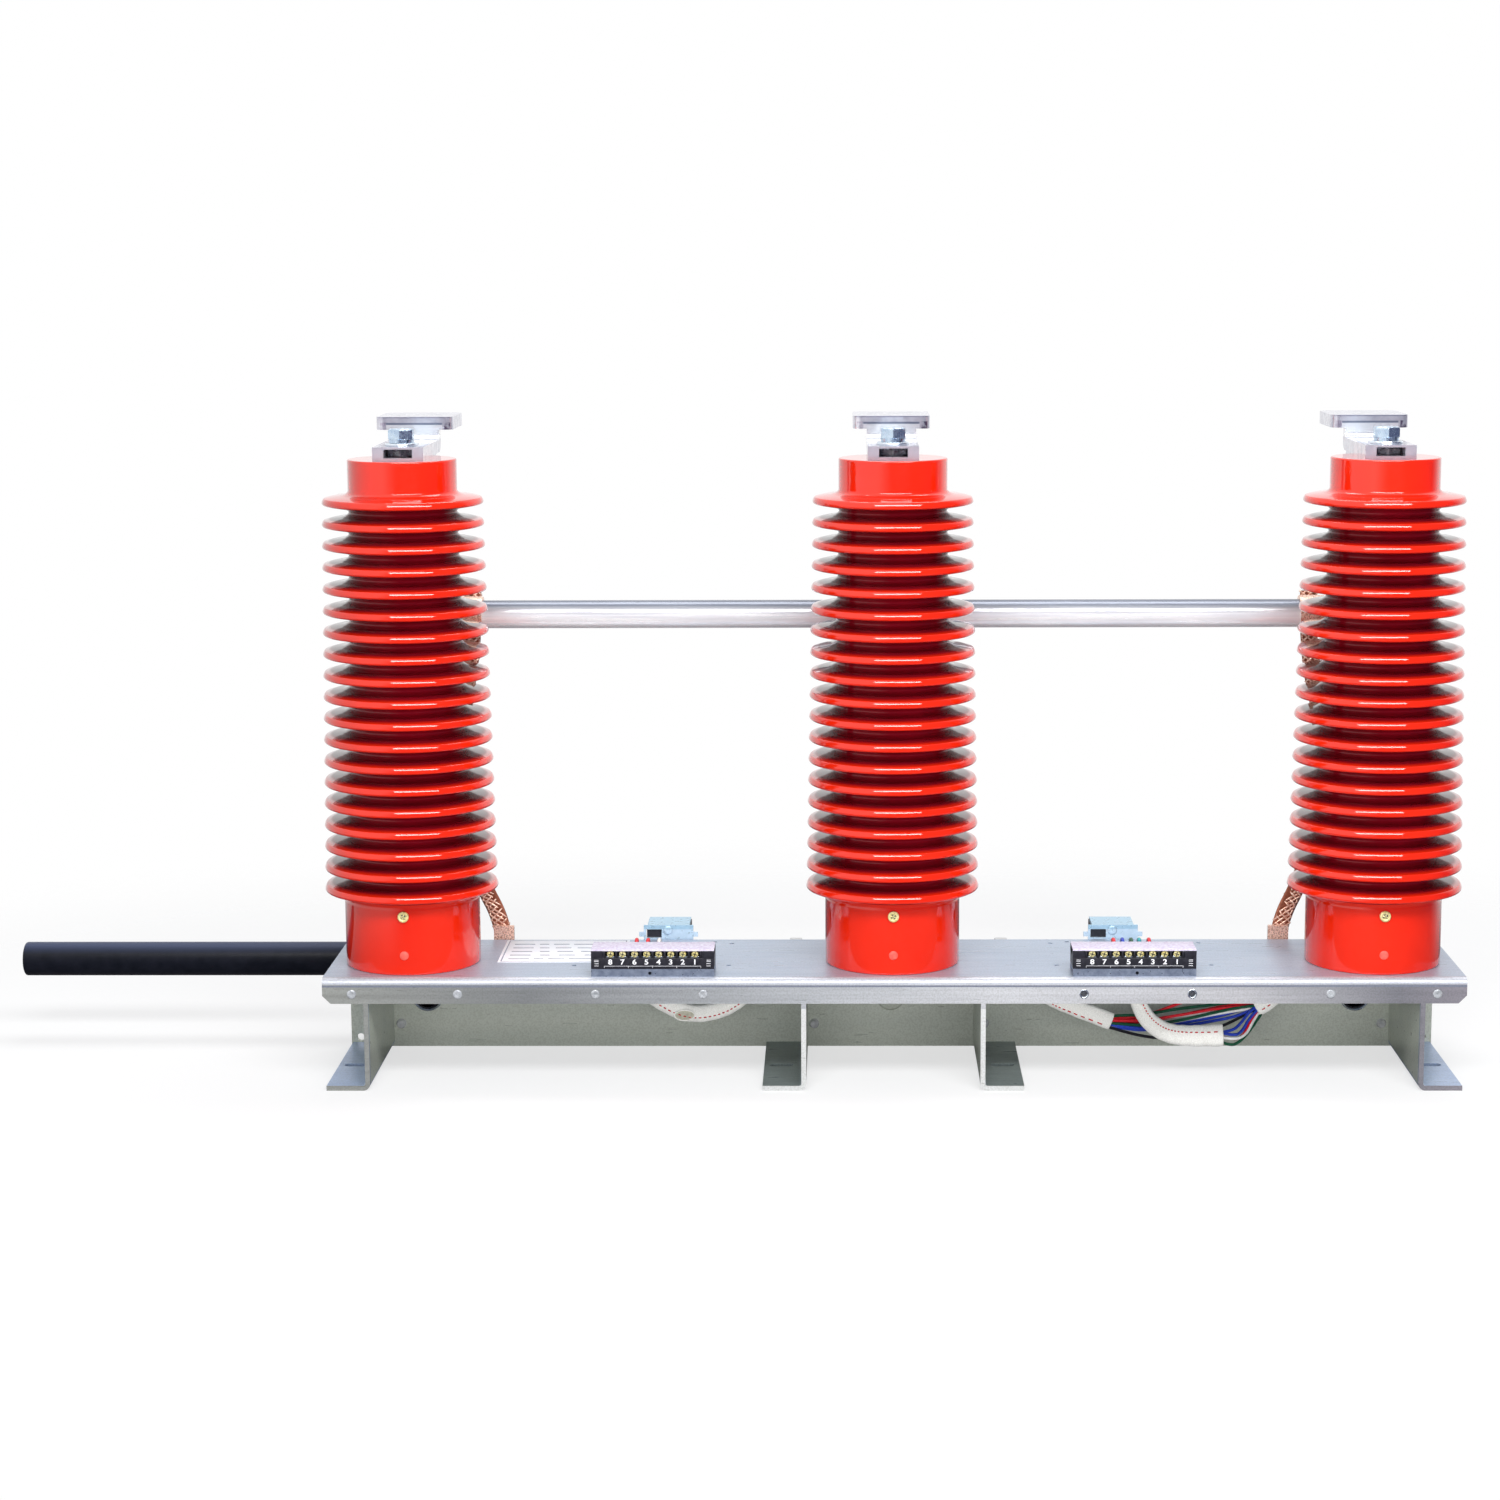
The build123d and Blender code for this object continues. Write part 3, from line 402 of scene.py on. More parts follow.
def silver_contact():
    """Silvered copper: pale, with painted light and shade: a brighter foot and upright, greyer bands of
    painted shade where the pad, upright and foot meet, and painted reflections at the pad's ends.
    """
    p = Paint("silver_contact", Metallic=0.7)
    z, y, x = p.axis("Z"), p.axis("Y"), p.pole_offset()
    tone = p.ramp(p.noise(120.0, 3.0, 0.55), [(0.3, (0.55, 0.55, 0.63)), (0.6, (0.74, 0.74, 0.80))])
    # Painted light: the foot's front and the upright's face brighter.
    foot = p.both(p.span(y, -0.0150, -0.0162), p.span(z, 0.3934, 0.3930))
    tone = p.tint(foot, tone, (0.82, 0.82, 0.88))
    upright = p.both(p.span(y, 0.0540, 0.0560), p.between(z, 0.3935, 0.4030))
    middle = p.between(x, -0.0175, 0.0175)
    tone = p.tint(p.both(upright, middle), tone, (0.96, 0.98, 1.0))
    # Painted shade: a dark band where the pad meets the upright and a thin dark line along the pad's top.
    pad_front = p.between(y, 0.0560, 0.0592)
    pad_root = p.both(pad_front, p.both(middle, p.between(z, 0.4022, 0.4032)))
    tone = p.tint(pad_root, tone, (0.26, 0.29, 0.38))
    tone = p.tint(p.both(pad_front, p.between(z, 0.4064, 0.4072)), tone, (0.42, 0.42, 0.52))
    # Painted reflections: a dark patch at the pad's right end and a lavender one at its left, mottled by
    # noise.
    painted_reflection_patch = p.span(p.noise(300.0, 3.0), 0.40, 0.56)
    painted_reflection_patch = p.both(painted_reflection_patch, p.both(pad_front, p.between(z, 0.3988, 0.4034)))
    tone = p.tint(p.both(painted_reflection_patch, p.between(x, 0.0190, 0.0250)), tone, (0.16, 0.13, 0.20))
    tone = p.tint(p.both(painted_reflection_patch, p.between(x, -0.0215, -0.0180)), tone, (0.46, 0.42, 0.52))
    p.link(tone, "Base Color")
    p.link(p.grey(p.noise(420.0, 4.0), 0.12, 0.26), "Roughness")
    p.bump(p.noise(260.0, 2.0), 0.22, 0.0004)
    return p.material


def bracket_zinc():
    """Bluish zinc of the switch brackets, darker along the top."""
    p = Paint("zinc_bracket", Metallic=0.3)
    cloud = p.noise(300.0, 3.0)
    pale = p.ramp(cloud, [(0.3, (0.52, 0.68, 0.80)), (0.7, (0.62, 0.77, 0.90))])
    darker_top = p.ramp(cloud, [(0.3, (0.34, 0.54, 0.68)), (0.7, (0.42, 0.62, 0.76))])
    p.link(p.blend(p.span(p.axis("Z"), 0.0765, 0.0772), pale, darker_top), "Base Color")
    p.link(p.grey(cloud, 0.24, 0.4), "Roughness")
    p.bump(p.noise(500.0, 2.0), 0.1, 0.0002)
    return p.material


def bright_tube():
    """Drawn tube, with painted shade that makes it greyer along its top."""
    p = Paint("bright_tube", Metallic=0.35)
    lines = p.noise(420.0, 4.0, 0.65, (0.03, 1.0, 1.0))
    drawn = p.ramp(lines, [(0.3, (0.80, 0.80, 0.84)), (0.65, (1.0, 1.0, 1.0))])
    # Painted shade: the tube darker towards its top.
    up = p.span(p.axis("Z"), (TUBE_Z + 1.0) * MM, (TUBE_Z + 6.5) * MM)
    light = p.ramp(up, [(0.0, (0.98, 0.98, 0.98)), (1.0, (0.20, 0.22, 0.27))])
    p.link(p.multiply(drawn, light), "Base Color")
    p.link(p.grey(lines, 0.16, 0.32), "Roughness")
    p.bump(lines, 0.2, 0.0002)
    return p.material


def black_shaft():
    """Black coated steel, with a painted bluish highlight along its top."""
    p = Paint("black_shaft")
    p.shader.inputs["Specular IOR Level"].default_value = 0.2
    dark = p.ramp(p.noise(140.0, 3.0), [(0.3, (0.003, 0.004, 0.008)), (0.7, (0.007, 0.008, 0.014))])
    # Painted highlight: a paler, bluish black along the shaft's top.
    up = p.span(p.axis("Z"), (SHAFT_Z + 5.0) * MM, (SHAFT_Z + 10.0) * MM)
    painted_highlight = p.ramp(up, [(0.0, (0.02, 0.026, 0.05)), (1.0, (0.045, 0.058, 0.11))])
    p.link(p.blend(up, dark, painted_highlight), "Base Color")
    p.link(p.grey(p.noise(600.0, 3.0), 0.34, 0.46), "Roughness")
    p.bump(p.noise(900.0, 2.0), 0.04, 0.0002)
    return p.material


def copper_braid():
    p = Paint("copper", Metallic=0.6)
    strands = p.ramp(p.noise(900.0, 4.0, 0.6), [(0.3, (0.74, 0.32, 0.20)), (0.62, (1.0, 0.76, 0.62))])
    p.link(strands, "Base Color")
    p.link(p.grey(p.noise(900.0, 3.0), 0.2, 0.38), "Roughness")
    p.bump(p.noise(1800.0, 3.0), 0.3, 0.0003)
    return p.material


def cream_sleeve():
    p = Paint("cream_sleeve", Roughness=0.8)
    p.shader.inputs["Sheen Weight"].default_value = 0.3
    weave = p.noise(1500.0, 3.0, 0.6)
    p.link(p.ramp(weave, [(0.3, rgb(222, 221, 214)), (0.65, rgb(248, 247, 242))]), "Base Color")
    p.bump(weave, 0.4, 0.0004)
    return p.material


RED = red_epoxy()
ZINC = zinc_sheet()
BRACKET = bracket_zinc()
BOLT = zinc_part("zinc_fastener", (0.46, 0.58, 0.74), (0.66, 0.78, 0.90))
WASHER = zinc_part("zinc_washer", (0.74, 0.82, 0.90), (0.88, 0.93, 0.97), (0.12, 0.25))
ARM = zinc_part("plated_arm", (0.50, 0.50, 0.50), (0.66, 0.67, 0.68), (0.28, 0.45))
RIVET = zinc_part("lip_rivet", (0.34, 0.36, 0.38), (0.60, 0.62, 0.65), (0.2, 0.35), 0.3)
DOME = zinc_part("bearing_bolt", (0.50, 0.51, 0.53), (0.80, 0.81, 0.83), (0.12, 0.25), 0.45)
SILVER = silver_contact()
NUT = flecked("dark_nut", (0.14, 0.15, 0.16), (0.32, 0.33, 0.35), (0.22, 0.42), 0.9,
              (400.0, 700.0, 1500.0), 0.1)
BRASS = zinc_part("brass_screw", (0.74, 0.62, 0.20), (0.98, 0.90, 0.50), (0.18, 0.34), 0.35)
SHAFT = black_shaft()
TUBE = bright_tube()
COPPER = copper_braid()
# Painted shade: a dark copper for the braid's core, seen between the strands.
COPPER_PAINTED_SHADE = zinc_part("copper_painted_shade", (0.20, 0.06, 0.03), (0.34, 0.11, 0.06), (0.4, 0.6), 0.5)
SLEEVE = cream_sleeve()
BLACK = flecked("black_block", (0.010, 0.010, 0.014), (0.022, 0.021, 0.030), (0.32, 0.5), 0.0,
                (500.0, 900.0, 1500.0), 0.12)
COVER = plain_plastic("block_cover", rgb(190, 176, 206), rgb(226, 226, 240))
RISER = zinc_part("riser_steel", (0.20, 0.24, 0.33), (0.32, 0.37, 0.48), (0.26, 0.42), 0.6)
# Painted shade: the sleeve's cream made darker, for the shade inside its fold and mouths.
SLEEVE_PAINTED_SHADE = plain_plastic("sleeve_inside_painted_shade", rgb(168, 165, 148), rgb(200, 197, 180), (0.7, 0.85))
PAPER = plain_plastic("label_paper", rgb(238, 245, 252), rgb(246, 250, 254), (0.5, 0.65))
FAINT = plain_plastic("label_ink", rgb(104, 110, 132), rgb(130, 136, 156), (0.5, 0.65))
WHITE_INK = plain_plastic("white_ink", rgb(225, 226, 232), rgb(244, 244, 248), (0.5, 0.6))
PLUG = plain_plastic("plug_pink", rgb(222, 82, 72), rgb(236, 104, 92), (0.35, 0.5))
DASH = plain_plastic("red_dash", rgb(186, 34, 40), rgb(205, 48, 52), (0.7, 0.85))
WIRE = {
    "red": plain_plastic("wire_red", rgb(196, 20, 34), rgb(222, 34, 48)),
    "green": plain_plastic("wire_green", rgb(20, 120, 66), rgb(34, 144, 84)),
    "dark_green": plain_plastic("wire_dark_green", rgb(12, 66, 44), rgb(22, 84, 58)),
    "blue": plain_plastic("wire_blue", rgb(28, 52, 160), rgb(44, 72, 190)),
    "white": plain_plastic("wire_white", rgb(222, 222, 220), rgb(240, 240, 238)),
    "black": plain_plastic("wire_black", rgb(20, 20, 24), rgb(34, 34, 38)),
    "teal": plain_plastic("wire_teal", rgb(30, 140, 150), rgb(50, 166, 172)),
}

# The CAD nodes that show, or that another piece stands for, by their finish
NODE_FINISH = [
    (ZINC, "base_channel foot_outer_left foot_inner_left foot_inner_right foot_outer_right"),
    (SILVER, "fixed_contact_left fixed_contact_middle fixed_contact_right"),
    (SILVER, "blades_left blades_middle blades_right"),
    (BOLT, "contact_bolts base_bolts blade_bolts lug_bolts"),
    (NUT, "contact_nuts"), (BRASS, "sensor_screws"), (DOME, "bearing_bolts"),
    (ARM, "bearing_outer_left bearing_inner_left bearing_inner_right bearing_outer_right"),
    (ARM, "retaining_rings arm_left arm_middle arm_right"),
    (SHAFT, "shaft"), (TUBE, "short_circuit_tube"), (COPPER, "braid_clamps earth_lugs"),
    (RISER, "terminal_riser_left terminal_riser_right"),
    (BRACKET, "switch_bracket_left switch_bracket_right"),
    (BLACK, "aux_switch_left aux_switch_right"),
    (SLEEVE, "harness_sleeves"), (WIRE["black"], "harness_wires"), (WIRE["red"], "terminal_wires"),
]
for finish, names in NODE_FINISH:
    for name in names.split():
        for k in range(len(nodes[name].material_slots)):
            nodes[name].material_slots[k].material = finish


# ---------------------------------------------------------------- insulators
def rim_profile():
    """The nose of a shed from its underside up: a gently leaning front between two small rounds."""
    turns = [(-78, 10, 1.5, 8), (10, 34, 5.5, 6), (34, 78, 1.2, 5)]
    x, z, nose = 0.0, 0.0, [(0.0, 0.0)]
    for start, end, radius, steps in turns:
        step = math.radians(end - start) / steps
        for k in range(steps):
            tilt = math.radians(start) + step * (k + 0.5)
            x -= math.sin(tilt) * radius * step
            z += math.cos(tilt) * radius * step
            nose.append((x, z))
    reach, middle = max(p[0] for p in nose), nose[-1][1] / 2
    return [(x - reach, z - middle) for x, z in nose]


def insulator_outline():
    """Base, round-rimmed sheds with hollow roots, and the cap, from the bottom up."""
    rim_half, root_half, root_round = 2.3, 4.4, 2.4
    nose = rim_profile()
    pitch = (INSULATOR_H - CAP_ABOVE_TOP_SHED - LOWEST_SHED) / (SHED_COUNT - 1)
    line = [(BASE_R - 0.5, 0.0), (BASE_R, 0.5), (BASE_R, 1.2),
            (BASE_R, BASE_H - 1.6), (BASE_R, BASE_H - 1.0)]
    for i in range(SHED_COUNT):
        share = i / (SHED_COUNT - 1)
        z = LOWEST_SHED + i * pitch
        rim = LOW_SHED_R + (HIGH_SHED_R - LOW_SHED_R) * share
        core = CORE_LOW_R + (CORE_HIGH_R - CORE_LOW_R) * share
        if i:
            line += [(core, z - pitch / 2), (core + 0.3, z - root_half - 1.3)]
        line += [(core + root_round, z - root_half), (core + 2.2 * root_round, z - root_half + 0.75)]
        line.append(((core + rim) / 2 + 1.5, z - (root_half + rim_half) / 2 + 0.1))
        line += [(rim + inward, z + up) for inward, up in nose]
        line.append(((core + rim) / 2 + 1.5, z + (root_half + rim_half) / 2 - 0.1))
        line += [(core + 2.2 * root_round, z + root_half - 0.75), (core + root_round, z + root_half)]
        if i < SHED_COUNT - 1:
            line.append((core + 0.3, z + root_half + 1.3))
    last = line[-1][1]
    line += [(CAP_R + 1.0, last + 0.6), (CAP_R, last + 1.8), (CAP_R, last + 2.6),
             (CAP_R, INSULATOR_H - 1.6)]
    line += arc(CAP_R - 0.9, INSULATOR_H - 0.9, 0.9, 0, 90, 4)
    line += [(CAP_R - 2.0, INSULATOR_H), (4.0, INSULATOR_H)]
    return line


for pole, x in POLES.items():
    body = lathe(f"insulator_{pole}_epoxy", insulator_outline(), (x, 0, PLATE_TOP), RED)
    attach(body, "frame")
    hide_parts(f"insulator_{pole}")

    # Small moulded plug under the screw
    plug = lathe(f"plug_{pole}", [(2.75, -0.6), (2.75, 0.15), (2.45, 0.38), (0.8, 0.42)],
                 (x, -BASE_R, PLUG_Z), PLUG, 32, "-Y")
    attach(plug, "frame")


# ---------------------------------------------------------------- screws on the bases
def recess_bars(centre, reach, width, depth, front, material):
    """The cross in a screw's head, seen from the front."""
    bars = []
    for k in range(2):
        bar = block("bar", (-reach, -depth, -width / 2), (reach, depth, width / 2), material, 0.05, 1)
        bar.data.transform(Matrix.Rotation(math.pi * k / 2 + 0.3, 4, "Y"))
        bar.data.transform(Matrix.Translation(Vector((centre[0], front, centre[1])) * MM))
        bars.append(bar)
    return bars


for pole, x in POLES.items():
    front = -BASE_R - 2.0
    rim = [(3.4, -1.9), (3.4, 1.5), (3.1, 1.85), (2.6, 2.0), (1.9, 2.0), (1.8, 1.5), (0.4, 1.45)]
    screw = lathe(f"sensor_screw_{pole}", rim, (x, -BASE_R, SCREW_Z), BRASS, 40, "-Y")
    ring = lathe("ring", [(1.78, 1.46), (1.5, 1.5), (1.1, 1.52), (0.3, 1.52)],
                 (x, -BASE_R, SCREW_Z), NUT, 24, "-Y")
    cross = recess_bars((x, SCREW_Z), 1.9, 0.75, 0.2, front + 0.12, BRASS)
    screw = joined(f"sensor_screw_{pole}", [screw, ring] + cross)
    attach(screw, "frame")
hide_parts("sensor_screws")


# ---------------------------------------------------------------- contact bolts
def hexagon_reach(a, flats):
    """How far a hexagon's edge lies from its middle at an angle."""
    return flats / 2 / math.cos((a - math.pi / 6 + TAU) % (TAU / 6) - math.pi / 6)


def hex_head(name, x, foot, flats, height, material):
    """A hexagon head with its chamfered crown, flats to the left and right front."""
    corner = flats / math.sqrt(3)
    segments = 72
    verts = []
    levels = [(0.0, 1.0, 0), (0.35, 1.0, 1), (height - 1.1, 1.0, 1), (height - 0.35, 0.96, 1),
              (height, 0.9, 0), (height, 0.5, 0)]
    for z, share, hexed in levels:
        for s in range(segments):
            a = TAU * s / segments
            edge = hexagon_reach(a, flats) if hexed else flats / 2 * 1.02
            r = min(edge, corner * 0.985) * share
            verts.append((x + r * math.cos(a), r * math.sin(a), foot + z))
    faces = ring_faces(len(levels), segments) + end_faces(len(levels), segments)[1:]
    return mesh_object(name, verts, faces, material, smooth=False)


def split_washer(name, x, foot, inner, outer, height, material):
    """A spring washer: a thick ring cut once, its ends a little apart."""
    verts, faces = [], []
    steps, gap = 60, 0.07
    for s in range(steps + 1):
        a = -0.9 + gap + (TAU - 2 * gap) * s / steps
        lift = 0.25 * s / steps
        for r, z in ((inner, 0), (outer, 0), (outer, height), (inner, height)):
            verts.append((x + r * math.cos(a), r * math.sin(a), foot + z + lift))
    for s in range(steps):
        for k in range(4):
            j = (k + 1) % 4
            faces.append((s * 4 + k, s * 4 + j, s * 4 + 4 + j, s * 4 + 4 + k))
    faces += [(3, 2, 1, 0), tuple(steps * 4 + k for k in range(4))]
    return mesh_object(name, verts, faces, material, smooth=False)


for pole, x in POLES.items():
    washer = lathe("washer", [(9.7, 0.0), (10.0, 0.3), (10.0, 1.3), (9.7, 1.6), (4.2, 1.6)],
                   (x, 0, FOOT_TOP), WASHER, 64)
    spring = split_washer("spring", x, FOOT_TOP + 1.6, 4.3, 7.6, 1.9, BOLT)
    head = hex_head("head", x, FOOT_TOP + 3.8, 15.0, 6.4, BOLT)
    bolt = joined(f"contact_bolt_{pole}", [head, spring, washer])
    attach(bolt, "frame")
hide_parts("contact_bolts")


def pocket_nut(x):
    """A knurled hexagon nut in the pocket of a contact's foot, a corner to the front."""
    verts = []
    flats, low, high, segments = 16.6, CAP_TOP + 1.45, CAP_TOP + 5.9, 144
    levels = [(low, 0.955), (low + 0.8, 1.0), (high - 0.8, 1.0), (high, 0.955), (high, 0.3)]
    for z, share in levels:
        for s in range(segments):
            a = TAU * s / segments
            rim = min(hexagon_reach(a, flats), flats / math.sqrt(3) * 0.975)
            r = rim * share - (0.12 if s % 2 else 0.0)
            verts.append((x + r * math.cos(a), r * math.sin(a), z))
    faces = ring_faces(len(levels), segments) + end_faces(len(levels), segments)
    return mesh_object("nut", verts, faces, NUT, smooth=False)


nut_piece = joined("contact_nuts_knurled", [pocket_nut(x) for x in POLES.values()])
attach(nut_piece, "frame")
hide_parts("contact_nuts")


# ---------------------------------------------------------------- inner bearings
def bearing_web(low_x, high_x):
    """The upright web of a bearing with its bored ring, low enough to stay behind the plate."""
    corners = [(REAR_EDGE + BEARING_PLATE, 16), (SHAFT_Y + 8.5, 43.5),
               (SHAFT_Y, WEB_TOP), (REAR_EDGE + BEARING_PLATE, WEB_TOP + 2)]
    corners = [(y - SHAFT_Y, z - SHAFT_Z) for y, z in corners]
    steps = 96
    angles = [math.atan2(z, y) for y, z in corners]
    angles = sorted(angles + [TAU * k / steps - math.pi for k in range(steps)])

    def reach(a):
        """How far the web's outline lies from the shaft at an angle."""
        found = []
        for (y1, z1), (y2, z2) in zip(corners, corners[1:] + corners[:1]):
            across = (z2 - z1, y1 - y2)
            facing = across[0] * math.cos(a) + across[1] * math.sin(a)
            if facing > 0.001:
                found.append((across[0] * y1 + across[1] * z1) / facing)
        return max(min(found), WEB_TOP - SHAFT_Z)

    verts, rim = [], 0.4
    loops = [(low_x, None), (low_x, -rim), (low_x + rim, 0.0),
             (high_x - rim, 0.0), (high_x, -rim), (high_x, None)]
    for x, inset in loops:
        for a in angles:
            r = SHAFT_BORE if inset is None else reach(a) + inset
            verts.append((x, SHAFT_Y + r * math.cos(a), SHAFT_Z + r * math.sin(a)))
    faces = [tuple(v % len(verts) for v in face) for face in ring_faces(len(loops) + 1, len(angles))]
    return mesh_object("web", verts, faces, ARM, smooth=False)


for name, place, side in (("left", -INNER_BEARING_LEFT, -1), ("right", INNER_BEARING_RIGHT, 1)):
    plate_x = sorted((place - side * 8.0, place + side * 16.0))
    web_x = sorted((place + side * 8.0, place + side * 16.0))
    plate = block("plate", (plate_x[0], REAR_EDGE, 7.0),
                  (plate_x[1], REAR_EDGE + BEARING_PLATE + 0.1, PLATE_UNDER), ARM)
    bearing = joined(f"bearing_inner_{name}_web", [bearing_web(*web_x), plate])
    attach(bearing, "frame")
    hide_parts(f"bearing_inner_{name}")


# ---------------------------------------------------------------- rivets, grommets and dimples
OPEN_RIVETS = LIP_HOLES[:2]
rivet_parts = []
for x in [-p for p in reversed(LIP_HOLES)] + LIP_HOLES:
    place = (x, FRONT_EDGE, PLATE_TOP - 10.0)
    if x in OPEN_RIVETS:
        ring = [(2.1, -0.6), (2.95, 0.0), (2.85, 0.25), (2.2, 0.3), (2.0, -0.5), (0.3, -0.6)]
        # Painted shade: the open rivets' empty centres closed with a dark disc.
        core = [(2.05, -0.55), (1.6, -0.4), (0.2, -0.35)]
        rivet_parts.append(lathe("ring", ring, place, WASHER, 32, "-Y"))
        rivet_parts.append(lathe("core", core, place, NUT, 24, "-Y"))
    else:
        dome = [(2.9, 0.0), (2.75, 0.35), (2.1, 0.55), (1.2, 0.5), (0.7, 0.3), (0.15, 0.28)]
        rivet_parts.append(lathe("dome", dome, place, RIVET, 32, "-Y"))
rivets = joined("lip_rivets", rivet_parts)
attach(rivets, "frame")

grommet_parts = []
for pole, x in POLES.items():
    place = (x, SKIRT_FRONT, SKIRT_HOLE_Z)
    if pole == "middle":
        plug = [(SKIRT_HOLE_R, -1.0), (SKIRT_HOLE_R - 0.2, -0.2), (SKIRT_HOLE_R - 0.8, 0.0),
                (0.5, 0.0)]
        grommet_parts.append(lathe("plug", plug, place, ZINC, 64, "-Y"))
        continue
    rim = [(SKIRT_HOLE_R, -1.0), (SKIRT_HOLE_R + 0.7, 0.0), (SKIRT_HOLE_R + 0.4, 0.35),
           (SKIRT_HOLE_R - 0.3, 0.3), (SKIRT_HOLE_R - 0.5, -1.0)]
    web = [(SKIRT_HOLE_R - 0.3, -1.6), (SKIRT_HOLE_R - 0.9, -0.9), (SKIRT_HOLE_R - 3.0, -1.2),
           (0.5, -1.4)]
    grommet_parts.append(lathe("rim", rim, place, WASHER, 64, "-Y"))
    grommet_parts.append(lathe("web", web, place, BLACK, 48, "-Y"))
grommets = joined("skirt_grommets", grommet_parts)
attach(grommets, "frame")

dimples = joined("bracket_dimples", [
    lathe("dimple", [(3.3, -0.1), (3.1, 0.25), (2.4, 0.7), (1.2, 0.95), (0.2, 1.0)],
          (side * SWITCH_X - 0.5, REAR_EDGE, 76.2), BRACKET, 40, "-Y")
    for side in (-1, 1)
])
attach(dimples, "frame")


# ---------------------------------------------------------------- terminal blocks
def text_mesh(word, size, wide, x, y, z, material):
    """A flat word that faces the front, its middle at x and its foot at z."""
    curve = bpy.data.curves.new("word", "FONT")
    curve.body = word
    curve.size = size * MM
    curve.align_x = "CENTER"
    curve.extrude = 0.03 * MM
    curve.offset = 0.09 * MM
    holder = bpy.data.objects.new("word", curve)
    mesh = bpy.data.meshes.new_from_object(holder)
    bpy.data.objects.remove(holder)
    bpy.data.curves.remove(curve)
    upright = Matrix.Rotation(math.pi / 2, 4, "X") @ Matrix.Diagonal((wide, 1, 1, 1))
    mesh.transform(Matrix.Translation(Vector((x, y, z)) * MM) @ upright)
    mesh.materials.clear()
    mesh.materials.append(material)
    piece = bpy.data.objects.new("word", mesh)
    bpy.context.scene.collection.objects.link(piece)
    return piece


def terminal_block(side):
    """Black moulding with eight recessed screws, their numbers, and a pale cover on top."""
    cx = side * BLOCK_X
    left, right = cx - BLOCK_LENGTH / 2, cx + BLOCK_LENGTH / 2
    front, back = BLOCK_FRONT, BLOCK_FRONT + BLOCK_DEPTH
    top, step_z = BLOCK_FOOT + BLOCK_HEIGHT, BLOCK_FOOT + BLOCK_STEP
    end, body_top = 7.4, top - 0.8
    parts = [
        block("low", (left, front, BLOCK_FOOT), (right, back, step_z), BLACK, 0.25),
        block("high", (left, front + 6.0, step_z - 0.2), (right, back, body_top), BLACK, 0.25),
        block("end_l", (left, front, step_z - 0.3), (left + end, back, body_top), BLACK, 0.25),
        block("end_r", (right - end, front, step_z - 0.3), (right, back, body_top), BLACK, 0.25),
        block("cover", (left, front + 0.2, top - 1.0), (right, back, top), COVER, 0.3),
    ]
    for k in range(TERMINALS + 1):
        bx = cx + (k - TERMINALS / 2) * TERMINAL_PITCH
        parts.append(block("barrier", (bx - 0.55, front + 0.1, step_z - 0.2),
                           (bx + 0.55, front + 6.2, top - 0.9), BLACK, 0.15, 1))
    head = [(2.1, 0.0), (2.1, 1.1), (1.8, 1.5), (1.2, 1.65), (0.2, 1.65)]
    for k in range(TERMINALS):
        tx = cx + (k - (TERMINALS - 1) / 2) * TERMINAL_PITCH
        tz = step_z + 2.1
        parts.append(lathe("head", head, (tx, front + 3.0, tz), BRASS, 24, "-Y"))
        parts.append(block("clamp", (tx - 2.9, front + 1.7, step_z - 0.1),
                           (tx + 2.9, front + 2.9, step_z + 0.9), WASHER, 0.15, 1))
        # Painted shade: the screws' cross recesses drawn as black bars.
        parts += recess_bars((tx, tz), 1.45, 0.5, 0.2, front + 1.3, BLACK)
        number = str(TERMINALS - k)
        parts.append(text_mesh(number, 4.4, 1.2, tx, front - 0.04, BLOCK_FOOT + 3.0, WHITE_INK))
    # Printed rules: one along the numbers, its ticks, and short bars at both ends
    half, line_z = TERMINALS / 2 * TERMINAL_PITCH, BLOCK_FOOT + 1.9
    strokes = [(cx - half, line_z - 0.1, cx + half, line_z + 0.1)]
    for k in range(5):
        rx = cx + (k - 2) * 2 * TERMINAL_PITCH
        strokes.append((rx - 0.1, BLOCK_FOOT + 0.7, rx + 0.1, line_z))
    for end_x in (left + 3.4, right - 3.4):
        for height in (2.0, 3.4, 4.8, 5.6):
            bar_z = BLOCK_FOOT + height
            strokes.append((end_x - 1.3, bar_z - 0.14, end_x + 1.3, bar_z + 0.14))
    ink = front - 0.05
    for x0, z0, x1, z1 in strokes:
        parts.append(block("rule", (x0, ink, z0), (x1, ink + 0.1, z1), WHITE_INK, 0.02, 1))
    return parts


for name, side in (("left", -1), ("right", 1)):
    block_piece = joined(f"terminal_block_{name}_detail", terminal_block(side))
    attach(block_piece, "frame")
    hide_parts(f"terminal_block_{name}")


# ---------------------------------------------------------------- blank label on the plate
LABEL_LEFT, LABEL_RIGHT, LABEL_FRONT, LABEL_BACK = -247.0, -168.0, -7.0, 54.0
INK_LOW, INK_HIGH = PLATE_TOP + 0.1, PLATE_TOP + 0.26


def rule(x0, y0, x1, y1):
    """A printed bar on the label."""
    return block("rule", (x0, y0, INK_LOW), (x1, y1, INK_HIGH), FAINT, 0.02, 1)


